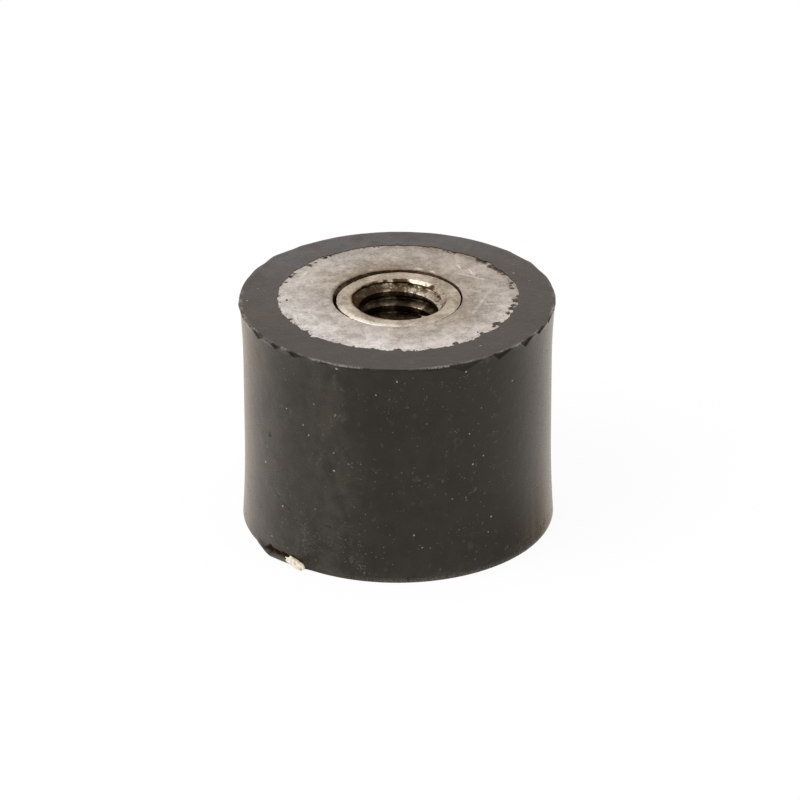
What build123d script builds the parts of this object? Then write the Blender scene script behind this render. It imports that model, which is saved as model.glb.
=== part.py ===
from build123d import *
from math import atan, degrees
import os

# A cylindrical anti-vibration mount with a female thread at each end.
# A waisted rubber body is moulded round two steel end plates, and a turned, shouldered bush with
# the thread sits in each plate, its spigot flush with the plate's outer face.
# Millimetres, +Z along the axis, origin at the centre of the lower end face.

# Rubber body
height = 15.0
rim_diameter = 20.0
waist_depth = 0.19  # how far the wall draws in from the rims, on the radius
flare_height = 4.0  # from a rim to where the wall runs straight
edge_cover = 2.0  # rubber outside the rim of each plate

# Steel end plates
plate_thickness = 2.0
plate_chamfer = 0.4  # on the buried edge, so that it doesn't cut the rubber

# Threaded bushes
thread_diameter = 6.0
thread_pitch = 1.0
bush_length = 6.0
spigot_diameter = 7.85
shoulder_width = 1.1  # how far the bush's body stands out behind the plate, on the radius
bush_chamfer = 0.5  # on the buried end of the body
countersink_angle = 120.0
countersink_oversize = 0.1  # of the countersink's mouth over the thread, on the diameter

# Groove left between a spigot and its plate, at the outer face
groove_width = 0.175
groove_depth = 0.5

# Tears in the lip of the upper rim: angle from +X, width along the rim, height down the wall
rim_tears = (
    (-27, 1.0, 0.2),
    (-36.5, 1.1, 0.4),
    (-50, 1.5, 0.4),
    (-65.5, 1.6, 0.7),
    (-118, 0.6, 0.2),
    (-130, 1.1, 0.35),
    (-140, 0.8, 0.3),
    (-152, 1.4, 0.35),
)
tear_depth = 0.12
tear_lean = 0.4  # share of a tear's width that lies before its lowest point

# Sizes that follow
rim_radius = rim_diameter / 2
waist_radius = rim_radius - waist_depth
plate_radius = rim_radius - edge_cover
spigot_radius = spigot_diameter / 2
shoulder_radius = spigot_radius + shoulder_width
bore_radius = (thread_diameter - thread_pitch) / 2
countersink_radius = (thread_diameter + countersink_oversize) / 2
groove_radius = spigot_radius + groove_width
groove_angle = 2 * degrees(atan(groove_width / groove_depth))

# Each end face looks outwards, so what is sunk into an end has a negative depth
lower_face = Plane(origin=(0, 0, 0), x_dir=(1, 0, 0), z_dir=(0, 0, -1))
upper_face = Plane.XY.offset(height)
mid_height = Plane.XZ.offset(-height / 2)  # in the axes of a sketch on Plane.XZ

os.makedirs("parts", exist_ok=True)

# Rubber body: half of the section, mirrored and turned about the axis
with BuildPart() as rubber_body:
    with BuildSketch(Plane.XZ) as section:
        with BuildLine():
            wall = Line((waist_radius, height / 2), (waist_radius, flare_height))
            flare = TangentArc(wall @ 1, (rim_radius, 0), tangent=wall % 1)
            Polyline(
                flare @ 1,
                (plate_radius, 0),
                (plate_radius, plate_thickness),
                (shoulder_radius, plate_thickness),
                (shoulder_radius, bush_length),
                (0, bush_length),
                (0, height / 2),
                wall @ 0,
            )
        make_face()
        mirror(about=mid_height)
        plate_seats = section.vertices().filter_by_position(Axis.X, plate_radius, plate_radius)
        chamfer(plate_seats.sort_by(Axis.Y)[1:-1], length=plate_chamfer)
        bush_seats = section.vertices().filter_by_position(Axis.X, shoulder_radius, shoulder_radius)
        chamfer(bush_seats.sort_by(Axis.Y)[1:-1], length=bush_chamfer)
    revolve(axis=Axis.Z)
    for angle, width, fall in rim_tears:
        start = -tear_lean * width
        with BuildSketch(Plane.YZ.rotated((0, 0, angle)).offset(rim_radius)):
            with BuildLine():
                Polyline((start, height), (start + width, height), (0, height - fall), close=True)
            make_face()
        extrude(amount=-tear_depth, mode=Mode.SUBTRACT)
rubber_body.part.label = "rubber_body"
export_step(rubber_body.part, "parts/rubber_body.step")

for end, face in (("lower", lower_face), ("upper", upper_face)):
    outwards = Axis(face.origin, face.z_dir)

    # End plate: a disc with a hole for the spigot, eased at the outer face
    with BuildPart() as plate:
        with BuildSketch(face):
            Circle(plate_radius)
        extrude(amount=-plate_thickness)
        chamfer(plate.edges().sort_by(outwards)[0], length=plate_chamfer)
        with Locations(face):
            CounterSinkHole(spigot_radius, groove_radius, counter_sink_angle=groove_angle)
    plate.part.label = f"{end}_plate"
    export_step(plate.part, f"parts/{end}_plate.step")

    # Threaded bush: a spigot through the plate and a wider body behind it, bored through
    with BuildPart() as bush:
        with BuildSketch(face):
            Circle(spigot_radius)
        extrude(amount=-bush_length)
        with BuildSketch(face.offset(-plate_thickness)):
            Circle(shoulder_radius)
        extrude(amount=plate_thickness - bush_length)
        chamfer(bush.edges().sort_by(outwards)[0], length=bush_chamfer)
        with Locations(face):
            CounterSinkHole(bore_radius, countersink_radius, counter_sink_angle=countersink_angle)
    bush.part.label = f"{end}_bush"
    export_step(bush.part, f"parts/{end}_bush.step")
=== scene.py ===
"""Looks for a used anti-vibration mount: a moulded rubber body round two steel end plates, each with a bush.

All lengths are in metres, in the frame of the solids: +Z along the axis, origin on the lower end face.
Angles go round the axis from +X towards +Y.
"""

import logging
import math
from collections.abc import Callable
from dataclasses import dataclass, field
from enum import Enum

import bmesh
import bpy
import numpy as np
from mathutils import Matrix, Vector


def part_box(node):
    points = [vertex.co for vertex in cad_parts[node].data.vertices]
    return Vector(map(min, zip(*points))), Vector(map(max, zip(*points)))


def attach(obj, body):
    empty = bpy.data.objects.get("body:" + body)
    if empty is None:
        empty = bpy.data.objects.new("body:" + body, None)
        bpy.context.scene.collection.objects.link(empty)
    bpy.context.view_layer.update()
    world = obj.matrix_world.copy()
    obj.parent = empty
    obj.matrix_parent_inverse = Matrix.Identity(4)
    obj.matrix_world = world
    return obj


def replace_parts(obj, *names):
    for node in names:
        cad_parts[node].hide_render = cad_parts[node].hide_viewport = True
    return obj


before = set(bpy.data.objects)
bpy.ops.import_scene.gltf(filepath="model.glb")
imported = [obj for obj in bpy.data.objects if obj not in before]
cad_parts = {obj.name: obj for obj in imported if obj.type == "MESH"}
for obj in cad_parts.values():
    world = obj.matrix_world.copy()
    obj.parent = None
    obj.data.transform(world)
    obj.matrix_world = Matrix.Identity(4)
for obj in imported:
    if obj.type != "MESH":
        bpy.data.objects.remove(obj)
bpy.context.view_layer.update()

MM = 0.001
TURN = 2.0 * math.pi
BODY = "root"
Colour = tuple[float, float, float]
Socket = bpy.types.NodeSocket
Feed = Socket | float | tuple[float, ...]

log = logging.getLogger("mount")


class End(Enum):
    """The two ends of the mount; the value is the start of the solids' names."""

    LOWER = "lower"
    UPPER = "upper"


class Slot(Enum):
    """The record's material slots."""

    RUBBER = "rubber"
    PLATE = "plate_steel"
    BUSH = "bush_steel"


# ---------------------------------------------------------------------------------------------
# Node trees
# ---------------------------------------------------------------------------------------------


class Sheet:
    """Adds nodes to one shader or geometry tree and joins them."""

    def __init__(self, tree: bpy.types.NodeTree) -> None:
        """Take the tree that the nodes go into."""
        self.tree = tree

    def feed(self, socket: Socket, value: Feed) -> None:
        """Link a socket to another one, or set its plain value.

        Args:
            socket: the input to feed.
            value: an output socket or a plain value.
        """
        if isinstance(value, Socket):
            self.tree.links.new(value, socket)
        else:
            socket.default_value = value

    def node(self, kind: str, inputs: dict | None = None, **settings: object) -> bpy.types.Node:
        """Add one node.

        Args:
            kind: the node's type name.
            inputs: input name or number to a socket or a plain value.
            settings: properties of the node itself.

        Returns:
            The new node.
        """
        made = self.tree.nodes.new(kind)
        for name, value in settings.items():
            setattr(made, name, value)
        for name, value in (inputs or {}).items():
            self.feed(made.inputs[name], value)
        return made

    def math(self, operation: str, *values: Feed) -> Socket:
        """Add a Math node and return its result."""
        return self.node("ShaderNodeMath", dict(enumerate(values)), operation=operation).outputs[0]

    def plus(self, first: Feed, second: Feed) -> Socket:
        """Return the sum of two values."""
        return self.math("ADD", first, second)

    def minus(self, first: Feed, second: Feed) -> Socket:
        """Return the first value less the second."""
        return self.math("SUBTRACT", first, second)

    def times(self, first: Feed, second: Feed) -> Socket:
        """Return the product of two values."""
        return self.math("MULTIPLY", first, second)

    def most(self, first: Feed, second: Feed) -> Socket:
        """Return the larger of two values."""
        return self.math("MAXIMUM", first, second)

    def vector(self, operation: str, *values: Feed) -> Socket:
        """Add a Vector Math node and return its vector."""
        return self.node("ShaderNodeVectorMath", dict(enumerate(values)), operation=operation).outputs[0]

    def combine(self, x: Feed, y: Feed = 0.0, z: Feed = 0.0) -> Socket:
        """Return the vector of three values."""
        return self.node("ShaderNodeCombineXYZ", {"X": x, "Y": y, "Z": z}).outputs[0]

    def remap(self, value: Feed, low: float, high: float, start: float = 0.0, end: float = 1.0) -> Socket:
        """Turn the range low to high into start to end, smoothly and without passing them."""
        inputs = {"Value": value, "From Min": low, "From Max": high, "To Min": start, "To Max": end}
        return self.node("ShaderNodeMapRange", inputs, interpolation_type="SMOOTHSTEP").outputs[0]

    def mix(self, share: Feed, first: Socket | Colour, second: Socket | Colour) -> Socket:
        """Mix two colours.

        Args:
            share: the share of the second colour.
            first: a colour, as a socket or as plain red, green and blue.
            second: the other colour.

        Returns:
            The mixed colour.
        """
        pair = [value if isinstance(value, Socket) else (*value, 1.0) for value in (first, second)]
        inputs = {0: share, 6: pair[0], 7: pair[1]}
        return self.node("ShaderNodeMix", inputs, data_type="RGBA").outputs[2]

    def noise(self, place: Socket, per_metre: Feed, detail: float, roughness: float) -> Socket:
        """Add a noise texture and return its value."""
        inputs = {"Vector": place, "Scale": per_metre, "Detail": detail, "Roughness": roughness}
        return self.node("ShaderNodeTexNoise", inputs).outputs["Fac"]

    def bump(self, height: Socket, strength: float, distance: float, normal: Socket | None = None) -> Socket:
        """Raise a bump from a height, over another normal if one is given.

        Args:
            height: what the bump follows.
            strength: its share, from 0 to 1.
            distance: how high a height of 1 stands.
            normal: the surface that it is added to.

        Returns:
            The new normal.
        """
        inputs = {"Height": height, "Strength": strength, "Distance": distance}
        if normal is not None:
            inputs["Normal"] = normal
        return self.node("ShaderNodeBump", inputs).outputs["Normal"]

    def looks(self, *names: str) -> dict[str, Socket]:
        """Read vertex attributes by their names."""
        return {name: self.node("ShaderNodeAttribute", attribute_name=name).outputs["Fac"] for name in names}

    def place(self) -> Socket:
        """Return the place on the object, in metres."""
        return self.node("ShaderNodeTexCoord").outputs["Object"]


def new_group(name: str, kind: str, inputs: dict[str, str], outputs: dict[str, str]) -> bpy.types.NodeTree:
    """Start a node group with named sockets.

    Args:
        name: the group's name.
        kind: ShaderNodeTree or GeometryNodeTree.
        inputs: input name to the end of its socket type, such as Float.
        outputs: the same for the outputs.

    Returns:
        The group, with its input and output nodes in place.
    """
    group = bpy.data.node_groups.new(name, kind)
    for in_out, sockets in (("INPUT", inputs), ("OUTPUT", outputs)):
        for label, ending in sockets.items():
            group.interface.new_socket(name=label, in_out=in_out, socket_type="NodeSocket" + ending)
    group.nodes.new("NodeGroupInput")
    group.nodes.new("NodeGroupOutput")
    return group


class StainGroup:
    """Shader group: cloudy patches and fine speckle, for stains, haze and dust."""

    def __init__(self) -> None:
        """Build the group once."""
        sockets = {"Vector": "Vector", "Patch Scale": "Float", "Speckle Scale": "Float", "Cover": "Float"}
        self.tree = new_group("Stain", "ShaderNodeTree", sockets, {"Mask": "Float", "Speckle": "Float"})
        sheet = Sheet(self.tree)
        given = self.tree.nodes["Group Input"].outputs
        cloud = sheet.noise(given["Vector"], given["Patch Scale"], 5.0, 0.6)
        grain = sheet.noise(given["Vector"], given["Speckle Scale"], 3.0, 0.7)
        threshold = sheet.minus(0.75, sheet.times(given["Cover"], 0.5))
        mask = sheet.remap(sheet.minus(cloud, threshold), -0.10, 0.14)
        result = self.tree.nodes["Group Output"].inputs
        sheet.feed(result["Mask"], sheet.times(mask, sheet.remap(grain, 0.25, 0.6, 0.55, 1.0)))
        sheet.feed(result["Speckle"], sheet.remap(grain, 0.35, 0.65))

    def add(
        self, sheet: Sheet, place: Socket, patches: float, speckles: float, cover: float
    ) -> bpy.types.bpy_prop_collection:
        """Use the group in a material.

        Args:
            sheet: the material's sheet.
            place: where on the object each point lies.
            patches: number of cloudy patches in a metre.
            speckles: number of speckles in a metre.
            cover: how much of the surface the patches cover.

        Returns:
            The group's outputs, Mask and Speckle.
        """
        inputs = {"Vector": place, "Patch Scale": patches, "Speckle Scale": speckles, "Cover": cover}
        return sheet.node("ShaderNodeGroup", inputs, node_tree=self.tree).outputs


class ScratchGroup:
    """Shader group: fine straight scratches in several directions."""

    directions = (0.25, 1.2, 1.9, 2.8)
    stretch = 22.0
    apart = 0.013

    def __init__(self) -> None:
        """Build the group once."""
        sockets = {"Vector": "Vector", "Scale": "Float", "Amount": "Float"}
        self.tree = new_group("Scratches", "ShaderNodeTree", sockets, {"Lines": "Float"})
        sheet = Sheet(self.tree)
        given = self.tree.nodes["Group Input"].outputs
        total: Feed = 0.0
        for number, direction in enumerate(self.directions):
            lie = {
                "Vector": given["Vector"],
                "Location": (self.apart * number, 0.0, 0.0),
                "Rotation": (0.0, 0.0, direction),
                "Scale": (1.0, 1.0 / self.stretch, 1.0),
            }
            turned = sheet.node("ShaderNodeMapping", lie, vector_type="TEXTURE").outputs[0]
            grain = sheet.noise(turned, given["Scale"], 1.0, 0.4)
            total = sheet.most(total, sheet.remap(grain, 0.68, 0.75))
        sheet.feed(self.tree.nodes["Group Output"].inputs["Lines"], sheet.times(total, given["Amount"]))

    def add(self, sheet: Sheet, place: Socket, per_metre: float, amount: float) -> Socket:
        """Use the group in a material and return its lines."""
        inputs = {"Vector": place, "Scale": per_metre, "Amount": amount}
        return sheet.node("ShaderNodeGroup", inputs, node_tree=self.tree).outputs["Lines"]


@dataclass(frozen=True)
class Thread:
    """An internal thread with 60 degree flanks; the plain one cuts nothing."""

    root_radius: float = 0.0
    root_height: float = 0.0
    pitch: float = 1.0
    root_flat: float = 0.0


class TurningTree:
    """Geometry tree: turns a section about the axis and cuts a thread in what lies inside its root radius."""

    name = "Turned part"
    weld = 0.5e-6

    def __init__(self) -> None:
        """Build the tree once."""
        sockets = {
            "Geometry": "Geometry",
            "Segments": "Int",
            "Root Radius": "Float",
            "Root Height": "Float",
            "Pitch": "Float",
            "Root Flat": "Float",
            "Material": "Material",
        }
        self.tree = new_group(self.name, "GeometryNodeTree", sockets, {"Geometry": "Geometry"})
        sheet = Sheet(self.tree)
        given = self.tree.nodes["Group Input"].outputs
        chain = given["Geometry"]
        counted = sheet.node("GeometryNodeAttributeDomainSize", {"Geometry": chain}, component="MESH")
        rows = counted.outputs["Point Count"]
        columns = sheet.plus(given["Segments"], 1.0)
        grid = sheet.node("GeometryNodeMeshGrid", {"Vertices X": columns, "Vertices Y": rows})
        index = sheet.node("GeometryNodeInputIndex").outputs[0]
        row = sheet.math("MODULO", index, rows)
        column = sheet.math("FLOOR", sheet.math("DIVIDE", sheet.plus(index, 0.5), rows))
        share = sheet.math("DIVIDE", column, given["Segments"])
        angle = sheet.times(share, TURN)
        position = sheet.node("GeometryNodeInputPosition").outputs[0]
        picked = {"Geometry": chain, "Value": position, "Index": row}
        sampled = sheet.node("GeometryNodeSampleIndex", picked, data_type="FLOAT_VECTOR")
        point = sheet.node("ShaderNodeSeparateXYZ", {0: sampled.outputs["Value"]}).outputs
        radius = sheet.most(point["X"], self.thread(sheet, given, point["Z"], share))
        x = sheet.times(radius, sheet.math("COSINE", angle))
        y = sheet.times(radius, sheet.math("SINE", angle))
        place = {"Geometry": grid.outputs["Mesh"], "Position": sheet.combine(x, y, point["Z"])}
        turned = sheet.node("GeometryNodeSetPosition", place).outputs[0]
        closed = sheet.node("GeometryNodeMergeByDistance", {"Geometry": turned, "Distance": self.weld})
        keep_result(sheet, closed.outputs[0], given["Material"])

    @staticmethod
    def thread(sheet: Sheet, given: bpy.types.bpy_prop_collection, height: Socket, share: Socket) -> Socket:
        """Work out the radius of a right-handed internal thread with 60 degree flanks.

        Args:
            sheet: the tree's sheet.
            given: the tree's inputs.
            height: the height of a point.
            share: the share of a turn at which it lies.

        Returns:
            The thread's radius there.
        """
        turns = sheet.math("DIVIDE", sheet.minus(height, given["Root Height"]), given["Pitch"])
        phase = sheet.math("FRACT", sheet.minus(turns, share))
        nearest = sheet.math("MINIMUM", phase, sheet.minus(1.0, phase))
        along = sheet.times(nearest, given["Pitch"])
        past_flat = sheet.most(0.0, sheet.minus(along, given["Root Flat"]))
        return sheet.minus(given["Root Radius"], sheet.times(past_flat, math.sqrt(3.0)))

    def turn(
        self,
        name: str,
        section: "Section",
        segments: int,
        material: bpy.types.Material,
        thread: Thread = Thread(),
    ) -> bpy.types.Object:
        """Turn a section about the axis.

        Args:
            name: the new piece's name.
            section: half of its section.
            segments: number of steps in a turn.
            material: what it is made of.
            thread: the thread to cut in it.

        Returns:
            The turned piece.
        """
        sizes = {
            "Segments": segments,
            "Root Radius": thread.root_radius,
            "Root Height": thread.root_height,
            "Pitch": thread.pitch,
            "Root Flat": thread.root_flat,
            "Material": material,
        }
        return grow(name, section.mesh(f"{name} section"), self.tree, sizes)


class ScatterTree:
    """Geometry tree: strews small flattened grains over a surface, more where an attribute says so."""

    name = "Strewn grains"
    least_stretch = (0.45, 0.45, 0.6)
    most_stretch = (1.35, 1.1, 1.2)

    def __init__(self) -> None:
        """Build the tree once."""
        sockets = {
            "Geometry": "Geometry",
            "Density": "Float",
            "Share Attribute": "String",
            "Grain Radius": "Float",
            "Flatness": "Float",
            "Seed": "Int",
            "Material": "Material",
        }
        self.tree = new_group(self.name, "GeometryNodeTree", sockets, {"Geometry": "Geometry"})
        sheet = Sheet(self.tree)
        given = self.tree.nodes["Group Input"].outputs
        seed = given["Seed"]
        named = sheet.node("GeometryNodeInputNamedAttribute", {"Name": given["Share Attribute"]})
        density = sheet.times(named.outputs["Attribute"], given["Density"])
        surface = {"Mesh": given["Geometry"], "Density": density, "Seed": seed}
        strewn = sheet.node("GeometryNodeDistributePointsOnFaces", surface).outputs
        ball = sheet.node("GeometryNodeMeshIcoSphere", {"Radius": given["Grain Radius"], "Subdivisions": 2})
        limits = {"Min": self.least_stretch, "Max": self.most_stretch, "Seed": seed}
        stretch = sheet.node("FunctionNodeRandomValue", limits, data_type="FLOAT_VECTOR").outputs["Value"]
        size = sheet.vector("MULTIPLY", stretch, sheet.combine(1.0, 1.0, given["Flatness"]))
        spin = sheet.node("FunctionNodeRandomValue", {2: 0.0, 3: TURN, "Seed": seed}, data_type="FLOAT")
        about = {"Axis": (0.0, 0.0, 1.0), "Angle": spin.outputs[1]}
        own_turn = sheet.node("FunctionNodeAxisAngleToRotation", about).outputs[0]
        both = {"Rotation": strewn["Rotation"], "Rotate By": own_turn}
        turned = sheet.node("FunctionNodeRotateRotation", both, rotation_space="LOCAL").outputs[0]
        placed = {
            "Points": strewn["Points"],
            "Instance": ball.outputs["Mesh"],
            "Rotation": turned,
            "Scale": size,
        }
        keep_result(sheet, sheet.node("GeometryNodeInstanceOnPoints", placed).outputs[0], given["Material"])


def keep_result(sheet: Sheet, geometry: Socket, material: Socket) -> None:
    """End a geometry tree: make its instances real and give the result its material.

    Args:
        sheet: the tree's sheet.
        geometry: what the tree has made.
        material: what it is made of.
    """
    real = sheet.node("GeometryNodeRealizeInstances", {"Geometry": geometry}).outputs[0]
    painted = sheet.node("GeometryNodeSetMaterial", {"Geometry": real, "Material": material}).outputs[0]
    sheet.feed(sheet.tree.nodes["Group Output"].inputs[0], painted)


def add_object(name: str, data: bpy.types.ID) -> bpy.types.Object:
    """Make an object and put it in the scene.

    Args:
        name: the object's name.
        data: its mesh, lamp or camera.

    Returns:
        The new object.
    """
    made = bpy.data.objects.new(name, data)
    bpy.context.scene.collection.objects.link(made)
    return made


def grow(
    name: str, base: bpy.types.Mesh, tree: bpy.types.NodeTree, sizes: dict[str, object]
) -> bpy.types.Object:
    """Run a geometry tree on a mesh and keep what it makes as a plain mesh.

    Args:
        name: the new piece's name.
        base: the mesh that the tree starts from; it is used up.
        tree: the geometry tree.
        sizes: the tree's input names with their values.

    Returns:
        The piece, with no modifier left on it.
    """
    piece = add_object(name, base)
    modifier = piece.modifiers.new(tree.name, "NODES")
    modifier.node_group = tree
    sockets = {item.name: item.identifier for item in tree.interface.items_tree if item.in_out == "INPUT"}
    for label, value in sizes.items():
        modifier[sockets[label]] = value
    bpy.context.view_layer.update()
    evaluated = piece.evaluated_get(bpy.context.evaluated_depsgraph_get())
    made = bpy.data.meshes.new_from_object(evaluated)
    piece.modifiers.remove(modifier)
    piece.data = made
    made.name = name
    bpy.data.meshes.remove(base)
    return piece


# ---------------------------------------------------------------------------------------------
# Meshes
# ---------------------------------------------------------------------------------------------


class Section:
    """The outline of half a turned part, as points at a distance from the axis and a height."""

    def __init__(self, radius: float, height: float) -> None:
        """Start the outline at a point."""
        self.points = [(radius, height)]

    def to(self, radius: float, height: float, pieces: int = 1) -> "Section":
        """Go straight to a point, in equal pieces.

        Args:
            radius: the point's distance from the axis.
            height: the point's height.
            pieces: number of pieces of the way there.

        Returns:
            The outline itself.
        """
        start, low = self.points[-1]
        for step in range(1, pieces + 1):
            share = step / pieces
            self.points.append((start + (radius - start) * share, low + (height - low) * share))
        return self

    def along(self, curve: Callable[[float], tuple[float, float]], pieces: int) -> "Section":
        """Follow a curve given over 0 to 1, in pieces; its start is the last point."""
        self.points += [curve(step / pieces) for step in range(1, pieces + 1)]
        return self

    def mesh(self, name: str) -> bpy.types.Mesh:
        """Make a mesh of the outline.

        Args:
            name: the mesh's name.

        Returns:
            A chain of edges in the XZ plane.
        """
        made = bpy.data.meshes.new(name)
        edges = [(number, number + 1) for number in range(len(self.points) - 1)]
        made.from_pydata([(radius, 0.0, height) for radius, height in self.points], edges, [])
        return made


@dataclass(frozen=True)
class Bump:
    """A smooth bump at an angle in degrees, with its height and its half-width in degrees."""

    angle: float
    height: float
    width: float

    def at(self, angle: np.ndarray) -> np.ndarray:
        """Return the bump's height at each angle."""
        return self.height * np.exp(-((np.degrees(gap_from(angle, self.angle)) / self.width) ** 2))


class Ripple:
    """A random wave round the axis that closes on itself, with a spread of about 1."""

    def __init__(self, seed: int, lowest: int, highest: int, fall: float) -> None:
        """Choose the wave's parts.

        Args:
            seed: fixes the random choice.
            lowest: fewest crests in a turn.
            highest: most crests in a turn.
            fall: how fast the parts weaken with their number of crests.
        """
        chance = np.random.default_rng(seed)
        self.crests = np.arange(lowest, highest + 1)
        self.weights = self.crests**-fall
        self.weights /= np.sqrt(np.sum(self.weights**2) / 2.0)
        self.phases = chance.uniform(0.0, TURN, len(self.crests))

    def at(self, angle: np.ndarray) -> np.ndarray:
        """Add up the wave's parts.

        Args:
            angle: where to take the wave, in radians.

        Returns:
            The wave at each angle.
        """
        total = np.zeros_like(angle)
        for crests, weight, phase in zip(self.crests, self.weights, self.phases):
            total += weight * np.cos(crests * angle + phase)
        return total


class Polar:
    """A mesh's vertices as arrays of angle, radius and height, to be reshaped together."""

    def __init__(self, mesh: bpy.types.Mesh) -> None:
        """Read the vertices.

        Args:
            mesh: the mesh that is to be reshaped.
        """
        self.mesh = mesh
        places = np.empty(len(mesh.vertices) * 3)
        mesh.vertices.foreach_get("co", places)
        x, y, self.height = places.reshape(-1, 3).T.copy()
        self.radius = np.hypot(x, y)
        self.angle = np.arctan2(y, x)

    def bump(self, angle: float, height: float, width: float) -> np.ndarray:
        """Return the height of a bump at each vertex; its angle and half-width are in degrees."""
        return Bump(angle, height, width).at(self.angle)

    def ripple(self, seed: int, lowest: int, highest: int, fall: float) -> np.ndarray:
        """Return a random wave round the axis at each vertex."""
        return Ripple(seed, lowest, highest, fall).at(self.angle)

    def towards(self, centre: float) -> np.ndarray:
        """Return how far each vertex looks to an angle in degrees: 1 towards it, -1 away from it."""
        return np.cos(gap_from(self.angle, centre))

    def write(self, shift: tuple[float, float] = (0.0, 0.0), share: np.ndarray | float = 1.0) -> None:
        """Put the vertices back.

        Args:
            shift: how far they are moved sideways, along X and Y.
            share: the share of the shift that each vertex makes.
        """
        x = self.radius * np.cos(self.angle) + shift[0] * share
        y = self.radius * np.sin(self.angle) + shift[1] * share
        self.mesh.vertices.foreach_set("co", np.stack([x, y, self.height], axis=1).ravel())
        self.mesh.update()

    def store(self, name: str, values: np.ndarray) -> None:
        """Keep a value for each vertex as an attribute."""
        layer = self.mesh.attributes.new(name, "FLOAT", "POINT")
        layer.data.foreach_set("value", np.asarray(values, dtype=np.float32))


def smooth(value: np.ndarray, low: float, high: float) -> np.ndarray:
    """Rise smoothly from 0 at low to 1 at high; high may be the smaller."""
    share = np.clip((value - low) / (high - low), 0.0, 1.0)
    return share * share * (3.0 - 2.0 * share)


def gap_from(angle: np.ndarray, centre: float) -> np.ndarray:
    """Return the signed angle from a centre given in degrees, in radians."""
    return (angle - math.radians(centre) + math.pi) % TURN - math.pi


def face_outwards(mesh: bpy.types.Mesh) -> None:
    """Turn a closed mesh's faces round if they point inwards.

    Args:
        mesh: the mesh to check.
    """
    places = np.array([vertex.co for vertex in mesh.vertices])
    mesh.calc_loop_triangles()
    corners = places[np.array([triangle.vertices for triangle in mesh.loop_triangles])]
    volume = np.einsum("ij,ij->i", corners[:, 0], np.cross(corners[:, 1], corners[:, 2])).sum()
    if volume < 0.0:
        mesh.flip_normals()


def finish_piece(piece: bpy.types.Object, sharp: float = 38.0) -> bpy.types.Object:
    """Smooth a piece and join it to the frame.

    Args:
        piece: the piece.
        sharp: edges over this angle in degrees stay sharp.

    Returns:
        The same piece.
    """
    piece.data.shade_smooth()
    piece.data.set_sharp_from_angle(angle=math.radians(sharp))
    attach(piece, BODY)
    log.info("%s: %d faces", piece.name, len(piece.data.polygons))
    return piece


# ---------------------------------------------------------------------------------------------
# Finishes
# ---------------------------------------------------------------------------------------------


def new_material(name: str) -> tuple[bpy.types.Material, Sheet, bpy.types.bpy_prop_collection]:
    """Start a material.

    Args:
        name: its name.

    Returns:
        The material, its sheet and the inputs of its Principled BSDF.
    """
    made = bpy.data.materials.new(name)
    made.use_nodes = True
    return made, Sheet(made.node_tree), made.node_tree.nodes["Principled BSDF"].inputs


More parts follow.
